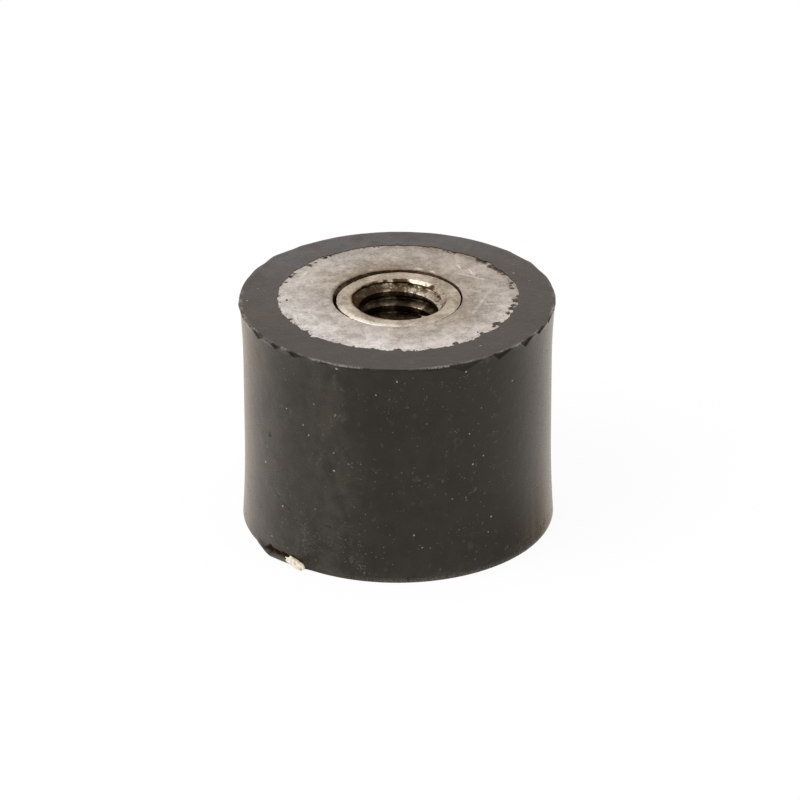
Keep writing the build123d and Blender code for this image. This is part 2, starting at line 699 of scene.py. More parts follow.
@dataclass(frozen=True)
class RubberFinish:
    """Old black moulding rubber, hazed with dust and painted light, with worn edges partly a painted
    highlight, darker where it is freshly torn and where painted shade lies.
    """

    stains: StainGroup
    black: Colour = (0.0016, 0.0013, 0.0012)
    haze_and_painted_light: Colour = (0.048, 0.0445, 0.035)
    warm_dust_and_sheen: Colour = (0.056, 0.038, 0.025)
    cool: Colour = (0.044, 0.046, 0.059)
    torn_and_shade: Colour = (0.0025, 0.0022, 0.0017)
    worn_and_highlight: Colour = (0.3, 0.275, 0.24)
    brown: Colour = (0.042, 0.017, 0.004)
    specular: Colour = (1.0, 0.91, 0.79)
    specular_level: float = 0.38
    roughness: float = 0.28
    sheen: Colour = (1.0, 0.7, 0.42)
    sheen_weight: float = 0.22
    sheen_roughness: float = 0.4
    drawn: tuple[float, float, float] = (1.0, 1.0, 0.75)

    def material(self) -> bpy.types.Material:
        """Make the rubber's material.

        Returns:
            The material, which reads the attributes that RubberBody stores.
        """
        made, sheet, surface = new_material("rubber")
        place = sheet.place()
        drawn = sheet.vector("MULTIPLY", place, self.drawn)
        patches = self.stains.add(sheet, drawn, patches=260.0, speckles=1100.0, cover=0.6)
        looks = sheet.looks("haze_and_painted_light", "warm_dust_and_sheen", "cool", "torn_and_shade", "worn_and_highlight", "brown", "dull_and_shade")
        cloud = sheet.times(patches["Mask"], 0.6)
        cloud = sheet.plus(cloud, sheet.times(patches["Speckle"], 0.4))
        cloud = sheet.plus(cloud, 0.15)
        rose = sheet.remap(sheet.noise(place, 420.0, 3.0, 0.6), 0.42, 0.6, 0.0, 0.25)
        # The haze is dust and painted light; its warm streaks at the left edge are partly a painted warm
        # sheen.
        dust = sheet.mix(sheet.most(looks["warm_dust_and_sheen"], rose), self.haze_and_painted_light, self.warm_dust_and_sheen)
        dust = sheet.mix(looks["cool"], dust, self.cool)
        colour = sheet.mix(sheet.times(cloud, looks["haze_and_painted_light"]), self.black, dust)
        smudges = sheet.remap(sheet.noise(drawn, 1900.0, 3.0, 0.6), 0.6, 0.72)
        marks = sheet.most(sheet.times(smudges, 0.05), self.scuffs(sheet, place))
        colour = sheet.mix(marks, colour, self.worn_and_highlight)
        # Torn faces and the crevice are darkened, partly as torn rubber and partly as painted shade.
        colour = sheet.mix(looks["torn_and_shade"], colour, self.torn_and_shade)
        grain = sheet.noise(place, 9000.0, 3.0, 0.6)
        blotch = sheet.remap(sheet.noise(place, 1300.0, 5.0, 0.7), 0.4, 0.55)
        brown = sheet.times(looks["brown"], blotch)
        colour = sheet.mix(brown, colour, self.brown)
        # Worn pale edges; along the upper lip this is partly a painted highlight.
        edge = sheet.times(looks["worn_and_highlight"], sheet.remap(grain, 0.35, 0.62))
        sheet.feed(surface["Base Color"], sheet.mix(edge, colour, self.worn_and_highlight))
        rough = sheet.plus(self.roughness, sheet.times(sheet.minus(grain, 0.5), 0.25))
        sheet.feed(surface["Roughness"], sheet.plus(rough, sheet.times(looks["torn_and_shade"], 0.3)))
        # Metallic over the near-black colour dims the reflection on torn faces, in painted shade and on brown
        # stains.
        dark = sheet.most(sheet.times(looks["torn_and_shade"], 0.5), looks["dull_and_shade"])
        dark = sheet.most(dark, sheet.times(brown, 0.75))
        sheet.feed(surface["Metallic"], dark)
        sheet.feed(surface["Specular IOR Level"], self.specular_level)
        sheet.feed(surface["Specular Tint"], (*self.specular, 1.0))
        sheet.feed(surface["Sheen Weight"], self.sheen_weight)
        sheet.feed(surface["Sheen Roughness"], self.sheen_roughness)
        sheet.feed(surface["Sheen Tint"], (*self.sheen, 1.0))
        lumps = sheet.noise(place, 1500.0, 4.0, 0.6)
        fine = sheet.bump(grain, strength=0.3, distance=0.01 * MM)
        sheet.feed(surface["Normal"], sheet.bump(lumps, strength=0.4, distance=0.03 * MM, normal=fine))
        return made

    @staticmethod
    def scuffs(sheet: Sheet, place: Socket) -> Socket:
        """Draw short curved scuffs: the broken contours of a slow noise.

        Args:
            sheet: the material's sheet.
            place: where on the object each point lies.

        Returns:
            How scuffed each point is.
        """
        slow = sheet.noise(place, 420.0, 2.0, 0.5)
        off = sheet.math("ABSOLUTE", sheet.minus(slow, 0.5))
        broken = sheet.remap(sheet.noise(place, 1300.0, 3.0, 0.6), 0.6, 0.7)
        return sheet.times(sheet.remap(off, 0.009, 0.002), sheet.times(broken, 0.14))


@dataclass(frozen=True)
class SteelFinish:
    """Dull plated steel, stained, scratched and pitted; its grime also carries painted shade, and its scrapes
    painted glints.
    """

    name: str
    stains: StainGroup
    scratches: ScratchGroup
    plate: Colour = (0.395, 0.325, 0.265)
    pale: Colour = (0.65, 0.59, 0.542)
    brown: Colour = (0.2, 0.145, 0.085)
    bright: Colour = (0.84, 0.77, 0.68)
    grime_and_shade: Colour = (0.07, 0.047, 0.026)
    black: Colour = (0.022, 0.014, 0.008)
    roughness: float = 0.34
    edge: Colour = (1.0, 1.0, 1.0)
    turned: bool = False
    ring_centre: tuple[float, float, float] = (0.1 * MM, 0.05 * MM, 0.0)

    def material(self) -> bpy.types.Material:
        """Make the steel's material.

        Returns:
            The material, which reads the attributes pale, tint, grime and scraped; pale also carries a
            painted highlight, grime painted shade, and scraped painted glints.
        """
        made, sheet, surface = new_material(self.name)
        place = sheet.place()
        looks = sheet.looks("pale", "tint", "grime_and_shade", "scrapes_and_glints")
        patches = self.stains.add(sheet, place, patches=700.0, speckles=6000.0, cover=0.6)
        mottle = self.stains.add(sheet, place, patches=1500.0, speckles=2200.0, cover=0.55)
        lines = self.scratches.add(sheet, place, per_metre=520.0, amount=1.0)
        nicks = self.scratches.add(sheet, place, per_metre=1300.0, amount=0.14)
        colour = sheet.mix(looks["pale"], self.plate, self.pale)
        value: Feed = 1.0
        for mask, depth in ((patches["Mask"], 0.26), (patches["Speckle"], 0.1), (mottle["Mask"], 0.3)):
            value = sheet.minus(value, sheet.times(sheet.minus(mask, 0.4), depth))
        colour = sheet.vector("MULTIPLY", colour, sheet.combine(value, value, value))
        patchy = sheet.remap(patches["Mask"], 0.9, 0.1, 0.05, 0.4)
        colour = sheet.mix(sheet.times(lines, patchy), colour, self.bright)
        colour = sheet.mix(nicks, colour, self.bright)
        # Bright scrapes, and painted glints along the groove's edge.
        broken = sheet.plus(sheet.times(mottle["Speckle"], 0.6), 0.4)
        colour = sheet.mix(sheet.times(looks["scrapes_and_glints"], broken), colour, self.bright)
        grain = sheet.noise(place, 2600.0, 5.0, 0.68)
        uneven = sheet.times(sheet.minus(grain, 0.5), 2.6)
        cloudy = sheet.times(patches["Mask"], sheet.remap(looks["pale"], 0.6, 0.0, 0.0, 0.3))
        stained = sheet.times(sheet.plus(looks["tint"], cloudy), sheet.plus(1.0, uneven))
        colour = sheet.mix(sheet.remap(stained, 0.0, 1.0), colour, self.brown)
        pits = sheet.remap(sheet.noise(place, 5200.0, 1.0, 0.5), 0.7, 0.76)
        # Grime darkens the groove, the gap, the spots and the bore; in the groove, the gap and the bore it is
        # partly painted shade.
        soaked = sheet.plus(looks["grime_and_shade"], uneven)
        gate = sheet.remap(looks["grime_and_shade"], 0.02, 0.15)
        dirt = sheet.times(sheet.remap(soaked, 0.36, 0.6), gate)
        colour = sheet.mix(sheet.most(dirt, sheet.times(pits, 0.5)), colour, self.grime_and_shade)
        black = sheet.times(sheet.remap(soaked, 0.7, 1.1), gate)
        sheet.feed(surface["Base Color"], sheet.mix(black, colour, self.black))
        sheet.feed(surface["Metallic"], 1.0)
        sheet.feed(surface["Specular Tint"], (*self.edge, 1.0))
        sheet.feed(surface["Roughness"], sheet.plus(self.roughness, sheet.times(uneven, 0.08)))
        height = sheet.minus(grain, sheet.times(lines, 0.5))
        if self.turned:
            height = self.rings(sheet, place, height)
        sheet.feed(surface["Normal"], sheet.bump(height, strength=0.5, distance=0.014 * MM))
        return made

    def rings(self, sheet: Sheet, place: Socket, height: Socket) -> Socket:
        """Add the fine rings that a turning tool leaves.

        Args:
            sheet: the material's sheet.
            place: where on the object each point lies.
            height: the height of the surface without them.

        Returns:
            The height with them.
        """
        centred = sheet.vector("SUBTRACT", place, self.ring_centre)
        flat = sheet.vector("MULTIPLY", centred, (1.0, 1.0, 0.0))
        radius = sheet.node("ShaderNodeVectorMath", {0: flat}, operation="LENGTH").outputs["Value"]
        ring = sheet.noise(sheet.combine(radius), 14000.0, 2.0, 0.5)
        return sheet.plus(sheet.times(height, 0.6), ring)


@dataclass(frozen=True)
class CrumbFinish:
    """Something small and dull, of one main colour with a mottle."""

    name: str
    colour: Colour
    shade: Colour
    roughness: float = 0.8
    specular_level: float = 0.5

    def material(self) -> bpy.types.Material:
        """Make the crumb's material.

        Returns:
            The material.
        """
        made, sheet, surface = new_material(self.name)
        mottle = sheet.noise(sheet.place(), 5000.0, 4.0, 0.6)
        sheet.feed(surface["Base Color"], sheet.mix(sheet.remap(mottle, 0.35, 0.7), self.colour, self.shade))
        sheet.feed(surface["Roughness"], self.roughness)
        sheet.feed(surface["Specular IOR Level"], self.specular_level)
        sheet.feed(surface["Normal"], sheet.bump(mottle, strength=0.6, distance=0.02 * MM))
        return made


# ---------------------------------------------------------------------------------------------
# The mount's pieces
# ---------------------------------------------------------------------------------------------


@dataclass(frozen=True)
class Seats:
    """Sizes that the pieces share: the first six are read from the solids.

    The steel lies an inset deep in its end. Each bush stands off its plate's centre, and this fades out
    between the two radii of lean_fades.
    """

    height: float
    rim_radius: float
    plate_radius: float
    plate_thickness: float
    bush_length: float
    shoulder_radius: float
    inset: float = 0.03 * MM
    spigot_radius: float = 3.925 * MM
    off_centre: tuple[float, float] = (0.1 * MM, 0.05 * MM)
    lean_fades: tuple[float, float] = (4.9 * MM, 4.2 * MM)

    @classmethod
    def from_frame(cls) -> "Seats":
        """Measure the solids of the frame.

        Returns:
            The shared sizes.
        """
        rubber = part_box("rubber_body")
        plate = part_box("lower_plate")
        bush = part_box("lower_bush")
        return cls(rubber[1].z, rubber[1].x, plate[1].x, plate[1].z, bush[1].z, bush[1].x)

    def place(self, end: End, depth: float) -> float:
        """Return the height of a point at a depth below an end face."""
        return depth if end is End.LOWER else self.height - depth


@dataclass(frozen=True)
class Tear:
    """A wedge torn out of the wall under the upper rim: its ends and tip in degrees, and its fall."""

    start: float
    end: float
    tip: float
    fall: float
    depth: float
    # How dark the tear is painted: partly torn rubber, partly painted shade under the lip.
    dark: float

    def inside(self, angle: np.ndarray, below: np.ndarray, radius: float) -> np.ndarray:
        """Find the points of the wall that lie in the wedge.

        Args:
            angle: each point's angle.
            below: how far below the end face it lies.
            radius: the wall's radius.

        Returns:
            How far inside the wedge's sides each point lies, negative outside it.
        """
        left = 1.0 - below / self.fall
        around = np.degrees(gap_from(angle, self.tip))
        sides = np.minimum(around - (self.start - self.tip) * left, (self.end - self.tip) * left - around)
        return np.where(left > 0.0, np.radians(sides) * radius, -1.0)


@dataclass(frozen=True)
class Spot:
    """A spot of dirt on an end face: its angle in degrees, its distance from the axis and its half-width."""

    angle: float
    radius: float
    size: float

    def at(self, x: np.ndarray, y: np.ndarray) -> np.ndarray:
        """Work out the spot's dirt.

        Args:
            x: each place's X.
            y: each place's Y.

        Returns:
            How dirty each place is.
        """
        turn = math.radians(self.angle)
        away = np.hypot(x - self.radius * math.cos(turn), y - self.radius * math.sin(turn))
        return np.exp(-((away / self.size) ** 2))


@dataclass(frozen=True)
class Stroke:
    """A bright stroke scraped across an end face, from one place to another; it fades towards both ends."""

    start: tuple[float, float]
    end: tuple[float, float]
    width: float
    strength: float

    def at(self, x: np.ndarray, y: np.ndarray) -> np.ndarray:
        """Work out the stroke's brightness.

        Args:
            x: each place's X.
            y: each place's Y.

        Returns:
            How bright each place is.
        """
        run = np.subtract(self.end, self.start)
        share = np.clip(((x - self.start[0]) * run[0] + (y - self.start[1]) * run[1]) / (run @ run), 0.0, 1.0)
        away = np.hypot(x - self.start[0] - share * run[0], y - self.start[1] - share * run[1])
        return self.strength * np.exp(-((away / self.width) ** 2)) * np.sin(np.pi * (0.15 + 0.7 * share))


@dataclass
class RubberBody:
    """The moulded rubber: waisted wall, torn rims, and the film that it left over the plates' edges.

    Bites are nicks in the film's edge, flash is what stands out of the upper rim, and the haze bumps say
    where the wall is hazed with dust and brightened with painted light. The loose flap and the crevice over
    it are at the front left of the lower rim.
    """

    seats: Seats
    tree: TurningTree
    finish: RubberFinish
    segments: int = 900
    waist_depth: float = 0.19 * MM
    upper_flare: float = 4.0 * MM
    lower_flare: float = 5.5 * MM
    lip: float = 0.035 * MM
    rim_zone: float = 1.2 * MM
    film_radius: float = 7.3 * MM
    film_end: float = 8.4 * MM
    film_thickness: float = 0.028 * MM
    film_centre: tuple[float, float] = (0.08 * MM, 0.33 * MM)
    film_mean: float = 7.65 * MM
    film_wave: float = 0.04 * MM
    film_rags: float = 0.06 * MM
    film_nicks: float = 0.2 * MM
    shoulder: float = 0.5 * MM
    near_rim: tuple[float, float] = (9.2 * MM, 9.8 * MM)
    flash_mean: float = 0.02 * MM
    flash_wave: float = 0.008 * MM
    crevice_depth: float = 0.11 * MM
    bites: tuple[Bump, ...] = tuple(
        Bump(angle, depth * MM, width)
        for angle, depth, width in (
            (61.5, 0.1, 2.2), (46.5, 0.13, 2.6), (36.0, 0.15, 4.0), (27.7, 0.06, 1.6), (-1.5, 0.1, 3.0),
            (-11.0, 0.2, 3.2), (-17.0, 0.12, 2.0), (-29.3, 0.27, 1.9), (-43.1, 0.2, 1.7),
            (-60.1, 0.24, 0.8), (-73.7, 0.12, 0.8), (-89.7, 0.2, 1.0), (-102.3, 0.14, 1.0),
            (-119.7, 0.12, 0.7), (-135.0, -0.22, 1.3), (-141.5, 0.3, 0.5), (-144.5, -0.14, 0.9),
            (-149.6, 0.12, 0.8),
        )
    )
    tears: tuple[Tear, ...] = tuple(
        Tear(start, end, tip, fall * MM, depth * MM, dark)
        for start, end, tip, fall, depth, dark in (
            (-20.0, -16.0, -18.0, 0.2, 0.06, 0.85), (-30.0, -23.0, -27.5, 0.25, 0.1, 0.85),
            (-40.0, -32.5, -37.0, 0.45, 0.1, 0.85), (-54.0, -44.0, -51.0, 0.45, 0.1, 0.85),
            (-72.0, -58.0, -66.0, 0.6, 0.08, 0.5), (-119.5, -114.0, -117.5, 0.18, 0.07, 0.6),
            (-132.5, -125.5, -131.0, 0.34, 0.1, 0.85), (-142.5, -136.5, -140.0, 0.34, 0.12, 0.75),
            (-155.5, -146.5, -151.0, 0.38, 0.1, 0.7), (-167.0, -164.0, -165.5, 0.3, 0.06, 0.85),
        )
    )
    flash: tuple[Bump, ...] = tuple(
        Bump(angle, reach * MM, width)
        for angle, reach, width in (
            (18.0, 0.04, 3.0), (32.0, 0.08, 2.5), (44.0, 0.04, 5.0), (76.0, 0.02, 4.0),
            (128.0, 0.07, 2.5), (141.0, 0.17, 5.5), (153.0, 0.09, 4.0), (163.0, 0.04, 7.0),
            (185.0, 0.07, 4.0), (-166.0, 0.05, 3.0), (-112.0, 0.03, 2.0),
        )
    )
    haze_and_light_bumps: tuple[Bump, ...] = (
        Bump(-114.0, 0.32, 9.0), Bump(-130.0, 0.15, 13.0), Bump(-153.0, 0.4, 13.0),
        Bump(-171.0, 0.6, 9.0), Bump(-28.0, 0.2, 8.0), Bump(-13.0, 0.45, 9.0),
        Bump(90.0, 0.2, 60.0),
    )
    flap_angles: tuple[float, ...] = (-155.0, -148.5, -144.5, -142.0, -139.0, -132.5, -128.0, -123.0)
    flap_reach: tuple[float, ...] = (0.0, 0.17 * MM, 0.32 * MM, 0.38 * MM, 0.3 * MM, 0.17 * MM, 0.1 * MM, 0.0)
    crevice_angles: tuple[float, ...] = (-152.0, -144.0, -135.0, -126.0)
    crevice_floor: tuple[float, ...] = (0.02 * MM, 0.13 * MM, 0.27 * MM, 0.33 * MM)
    piece: bpy.types.Object = field(init=False)

    def wall(self, height: float) -> float:
        """Work out the wall's radius: straight in the middle, flared to both rims.

        Args:
            height: the height of a point.

        Returns:
            The radius there.
        """
        waist = self.seats.rim_radius - self.waist_depth
        up = max(0.0, (height - self.seats.height + self.upper_flare) / self.upper_flare)
        down = max(0.0, (self.lower_flare - height) / self.lower_flare)
        return waist + self.waist_depth * (up * up + down * down)

    def section(self) -> Section:
        """Draw half of the section, from the upper bush's seat round to the lower one's.

        Returns:
            The section.
        """
        seats = self.seats
        top = seats.height
        made = Section(0.0, top - seats.bush_length)
        made.to(seats.shoulder_radius, top - seats.bush_length)
        made.to(seats.shoulder_radius, top - seats.plate_thickness)
        made.to(seats.plate_radius, top - seats.plate_thickness)
        made.to(seats.plate_radius, top - self.film_thickness)
        made.to(self.film_radius, top - self.film_thickness, 2)
        made.to(self.film_radius, top)
        made.to(self.film_end, top, 12)
        made.to(seats.rim_radius - self.shoulder, top, 4)
        made.to(seats.rim_radius - self.lip, top, 5)
        made.along(lambda share: self.rounding(share, top, 1.0), 3)
        zone, low = top - self.rim_zone, self.rim_zone
        made.along(lambda share: self.down(share, top - self.lip, zone), 23)
        made.along(lambda share: self.down(share, zone, low), 13)
        made.along(lambda share: self.down(share, low, self.lip), 18)
        made.along(lambda share: self.rounding(1.0 - share, 0.0, -1.0), 2)
        made.to(seats.rim_radius - self.shoulder, 0.0, 2)
        made.to(self.film_end, 0.0, 3)
        made.to(self.film_radius, 0.0, 8)
        made.to(self.film_radius, self.film_thickness)
        made.to(seats.plate_radius, self.film_thickness, 2)
        made.to(seats.plate_radius, seats.plate_thickness)
        made.to(seats.shoulder_radius, seats.plate_thickness)
        made.to(seats.shoulder_radius, seats.bush_length)
        made.to(0.0, seats.bush_length)
        return made

    def down(self, share: float, start: float, end: float) -> tuple[float, float]:
        """Return the point of the wall at a share of the way between two heights."""
        height = start + (end - start) * share
        return self.wall(height), height

    def rounding(self, share: float, face: float, side: float) -> tuple[float, float]:
        """Work out a point of a rim's rounded lip.

        Args:
            share: from the end face (0) to the wall (1).
            face: the height of the end face.
            side: 1 for the upper rim, -1 for the lower one.

        Returns:
            The point's radius and height.
        """
        turn = share * math.pi / 2.0
        outer = self.wall(face - side * self.lip)
        inner = self.seats.rim_radius - self.lip
        return inner + (outer - inner) * math.sin(turn), face - side * self.lip * (1.0 - math.cos(turn))

    def build(self) -> None:
        """Turn the section, then lift, tear and pull it as use and moulding have done."""
        self.piece = self.tree.turn("moulded_rubber", self.section(), self.segments, self.finish.material())
        polar = Polar(self.piece.data)
        self.lift_flash(polar)
        torn_and_shade = self.tear_rim(polar)
        self.creep_film(polar)
        torn_and_shade = np.maximum(torn_and_shade, self.pull_flap(polar))
        self.store_wear(polar, torn_and_shade)
        polar.write()
        face_outwards(self.piece.data)

    def lift_flash(self, polar: Polar) -> None:
        """Let the flash stand out of the upper rim, unevenly.

        Args:
            polar: the rubber's vertices.
        """
        below = self.seats.height - polar.height
        share = smooth(below, 0.3 * MM, 0.06 * MM) * smooth(polar.radius, self.near_rim[0], 9.9 * MM)
        out = self.flash_mean + self.flash_wave * polar.ripple(31, 5, 70, 0.5)
        out += sum(bump.at(polar.angle) for bump in self.flash)
        polar.radius += out * share

    def tear_rim(self, polar: Polar) -> np.ndarray:
        """Cut the tears into the upper rim.

        Args:
            polar: the rubber's vertices.

        Returns:
            How dark each of them is painted as torn, partly as painted shade under the lip.
        """
        below = np.maximum(self.seats.height - polar.height, 0.0)
        near = smooth(polar.radius, self.seats.rim_radius - 0.35 * MM, self.seats.rim_radius - 0.1 * MM)
        near *= below < self.rim_zone
        torn_and_shade = np.zeros_like(polar.radius)
        depth = np.zeros_like(polar.radius)
        for tear in self.tears:
            inside = tear.inside(polar.angle, below, self.seats.rim_radius)
            depth = np.maximum(depth, tear.depth * smooth(inside, -0.02 * MM, 0.12 * MM))
            # Tears are painted dark, partly as torn rubber and partly as painted shade under the lip.
            torn_and_shade = np.maximum(torn_and_shade, tear.dark * smooth(inside, -0.03 * MM, 0.07 * MM))
        polar.radius -= depth * near
        return torn_and_shade * near * smooth(below, 0.0, 0.04 * MM)

    def film_edge(self, angle: np.ndarray) -> np.ndarray:
        """Work out the ragged inner edge of the film.

        Args:
            angle: where to take it.

        Returns:
            The edge's radius at each angle.
        """
        centre = math.hypot(*self.film_centre)
        towards = math.atan2(self.film_centre[1], self.film_centre[0])
        edge = self.film_mean + centre * np.cos(angle - towards)
        ragged = np.clip(0.6 + 0.6 * Ripple(17, 4, 30, 0.4).at(angle), 0.12, 1.6)
        ragged *= 1.0 - 0.75 * smooth(np.cos(gap_from(angle, 30.0)), 0.3, 0.75)
        edge += self.film_wave * Ripple(7, 3, 40, 0.7).at(angle) - 0.03 * MM
        edge += self.film_rags * ragged * np.abs(Ripple(11, 30, 160, 0.5).at(angle))
        edge -= self.film_nicks * ragged * np.clip(Ripple(13, 50, 240, 0.3).at(angle) - 1.1, 0.0, 1.5)
        return edge - sum(bite.at(angle) for bite in self.bites)

    def creep_film(self, polar: Polar) -> None:
        """Draw the edge of the film over each plate.

        Args:
            polar: the rubber's vertices.
        """
        edge = self.film_edge(polar.angle)
        depth = np.minimum(polar.height, self.seats.height - polar.height)
        skin = (depth < 2.0 * self.film_thickness) & (polar.radius < self.film_end)
        share = (polar.radius - self.film_radius) / (self.film_end - self.film_radius)
        moved = edge + (self.film_end - edge) * share
        polar.radius = np.where(skin, moved, polar.radius)

    def pull_flap(self, polar: Polar) -> np.ndarray:
        """Pull the loose flap out of the lower rim and open the crevice over it.

        Args:
            polar: the rubber's vertices.

        Returns:
            How dark each of them is painted there: the crevice's painted shade.
        """
        around = np.degrees(polar.angle)
        reach = np.interp(around, self.flap_angles, self.flap_reach, left=0.0, right=0.0)
        rim = smooth(polar.radius, *self.near_rim)
        low = smooth(polar.height, 0.36 * MM, 0.02 * MM) * rim
        span = smooth(around, -151.0, -145.0) * smooth(around, -126.0, -134.0)
        above = polar.height - np.interp(around, self.crevice_angles, self.crevice_floor)
        ceiling = 0.12 * MM + 0.16 * MM * span + 0.05 * MM * polar.ripple(29, 20, 90, 0.3)
        crevice = smooth(above, -0.04 * MM, 0.03 * MM) * smooth(above - ceiling, 0.0, -0.1 * MM)
        crevice *= span * rim
        polar.radius += reach * low * (1.0 - crevice) - self.crevice_depth * crevice
        # The crevice is painted dark as shade, darker than any tear.
        return 0.95 * crevice

    def store_wear(self, polar: Polar, torn_and_shade: np.ndarray) -> None:
        """Keep where the rubber is torn, worn and painted with shade and highlight, and then the rest that
        its finish reads.

        Args:
            polar: the rubber's vertices.
            torn_and_shade: how dark each of them is painted, as torn rubber and as painted shade.
        """
        polar.store("torn_and_shade", torn_and_shade)
        below = self.seats.height - polar.height
        face = smooth(below, 0.06 * MM, 0.02 * MM)
        sides = smooth(np.abs(np.cos(polar.angle)), 0.7, 0.95)
        outer = smooth(polar.radius, 9.76 * MM, 9.93 * MM)
        # Edges painted pale: the upper one in patches towards the front, as wear and as a painted highlight
        # on the lip;
        # the lower one worn at the front right.
        upper = outer * smooth(np.abs(below - 0.01 * MM), 0.06 * MM, 0.015 * MM)
        lower = outer * smooth(polar.height, 0.4 * MM, 0.05 * MM)
        patchy = np.clip(0.45 + 0.55 * polar.ripple(23, 4, 60, 0.5), 0.0, 1.0)
        patchy *= 0.15 + 0.85 * smooth(np.sin(polar.angle), 0.3, -0.1)
        lower *= smooth(polar.towards(-45.0), 0.2, 0.8)
        polar.store("worn_and_highlight", np.maximum(0.75 * upper * patchy, 0.3 * lower) * (1.0 - torn_and_shade))
        self.store_dust(polar, face, sides)
        # A painted shadow line lies just under the upper rim, patchy like the edge above it.
        rim_shadow_line = smooth(np.abs(below - 0.13 * MM), 0.12 * MM, 0.05 * MM) * np.clip(patchy + 0.3, 0.0, 1.0)
        self.store_shade(polar, torn_and_shade, face, sides, rim_shadow_line)
        self.store_brown(polar, outer)

    def store_dust(self, polar: Polar, face: np.ndarray, sides: np.ndarray) -> None:
        """Keep where the rubber is hazed with dust and painted light, and where the dust is warm and where it
        is cool.

        Args:
            polar: the rubber's vertices.
            face: 1 on the upper end face.
            sides: 1 on the left and the right of the wall.
        """
        # Dust settles low on the wall and on the flap; the bumps by angle are dust and painted light, most on
        # the left side and the right edge; low on the right the haze is taken away as painted shade.
        haze_and_painted_light = 0.12 + sum(bump.at(polar.angle) for bump in self.haze_and_light_bumps)
        haze_and_painted_light += 0.2 * smooth(polar.height, 1.6 * MM, 0.2 * MM)
        haze_and_painted_light += 1.1 * smooth(polar.radius, 10.03 * MM, 10.15 * MM) * (polar.height < 0.4 * MM)
        haze_and_painted_light -= polar.bump(-20.0, 0.45, 18.0) * smooth(polar.height, 5.0 * MM, 2.5 * MM)
        # On the upper ring it is thickest at the back.
        ring = 0.15 + 0.7 * np.clip(polar.towards(110.0), 0.0, 1.0)
        polar.store("haze_and_painted_light", haze_and_painted_light + (ring - haze_and_painted_light) * face)
        # It is warm in streaks down the left side, partly dust and partly a painted warm sheen at the edge,
        # and cool on the ring.
        uneven = np.clip(0.12 + 0.2 * polar.ripple(48, 12, 80, 0.4), 0.0, 0.7)
        blush = sides * (np.cos(polar.angle) < 0.0) * uneven
        blush = np.maximum(blush, polar.bump(-168.0, 0.5, 14.0))
        polar.store("warm_dust_and_sheen", blush * (1.0 - face))
        polar.store("cool", face)

    @staticmethod
    def store_shade(
        polar: Polar, torn_and_shade: np.ndarray, face: np.ndarray, sides: np.ndarray, rim_shadow_line: np.ndarray
    ) -> None:
        """Keep where the rubber is dull and reflects little: the ring's own dullness, and painted shade
        elsewhere.

        Args:
            polar: the rubber's vertices.
            torn_and_shade: how dark each of them is painted, as torn rubber and as painted shade.
            face: 1 on the upper end face.
            sides: 1 on the left and the right of the wall.
            rim_shadow_line: 1 on the painted shadow line under the upper rim.
        """
        # Painted shade darkens the front right, most of all low down where the floor's shadow would be
        # reflected, and a strip on the left a little.
        shade = polar.bump(-36.0, 1.0, 24.0) * (0.1 + 0.38 * smooth(polar.height, 8.0 * MM, 0.5 * MM))
        shade += polar.bump(-20.0, 0.36, 22.0) * smooth(polar.height, 3.5 * MM, 0.6 * MM)
        shade = np.maximum(shade, polar.bump(184.0, 0.28, 12.0))
        shade *= np.clip(1.0 + 0.35 * sides * polar.ripple(47, 12, 90, 0.4), 0.2, 2.0)
        # A painted shadow line runs under the upper rim at the front.
        shade = np.maximum(shade, polar.bump(-86.0, 0.55, 28.0) * rim_shadow_line)
        # The crevice over the flap, the darkest torn place, reflects least as painted shade.
        deep = 0.9 * smooth(torn_and_shade, 0.86, 0.94)
        polar.store("dull_and_shade", np.maximum(np.maximum(shade * (1.0 - face), 0.28 * face), deep))

    @staticmethod
    def store_brown(polar: Polar, outer: np.ndarray) -> None:
        """Keep where the rubber is stained brown.

        Args:
            polar: the rubber's vertices.
            outer: 1 on the outer part of both rims.
        """
        # Brown stains lie on the lower rim in three places, and faint ones high on the left side.
        low = smooth(polar.height, 0.9 * MM, 0.2 * MM) * outer
        brown = low * (polar.bump(-126.5, 1.0, 3.0) + polar.bump(-141.0, 0.6, 5.0))
        brown += low * polar.bump(-18.0, 0.8, 6.0)
        brown += polar.bump(-167.0, 0.3, 8.0) * smooth(polar.height, 8.0 * MM, 12.0 * MM)
        off = np.abs(polar.height - 13.2 * MM)
        brown += polar.bump(-156.0, 0.5, 6.0) * smooth(off, 1.3 * MM, 0.2 * MM)
        polar.store("brown", np.clip(brown, 0.0, 1.0))

    def dress(self) -> None:
        """Join the piece to the frame."""
        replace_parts(finish_piece(self.piece), "rubber_body")


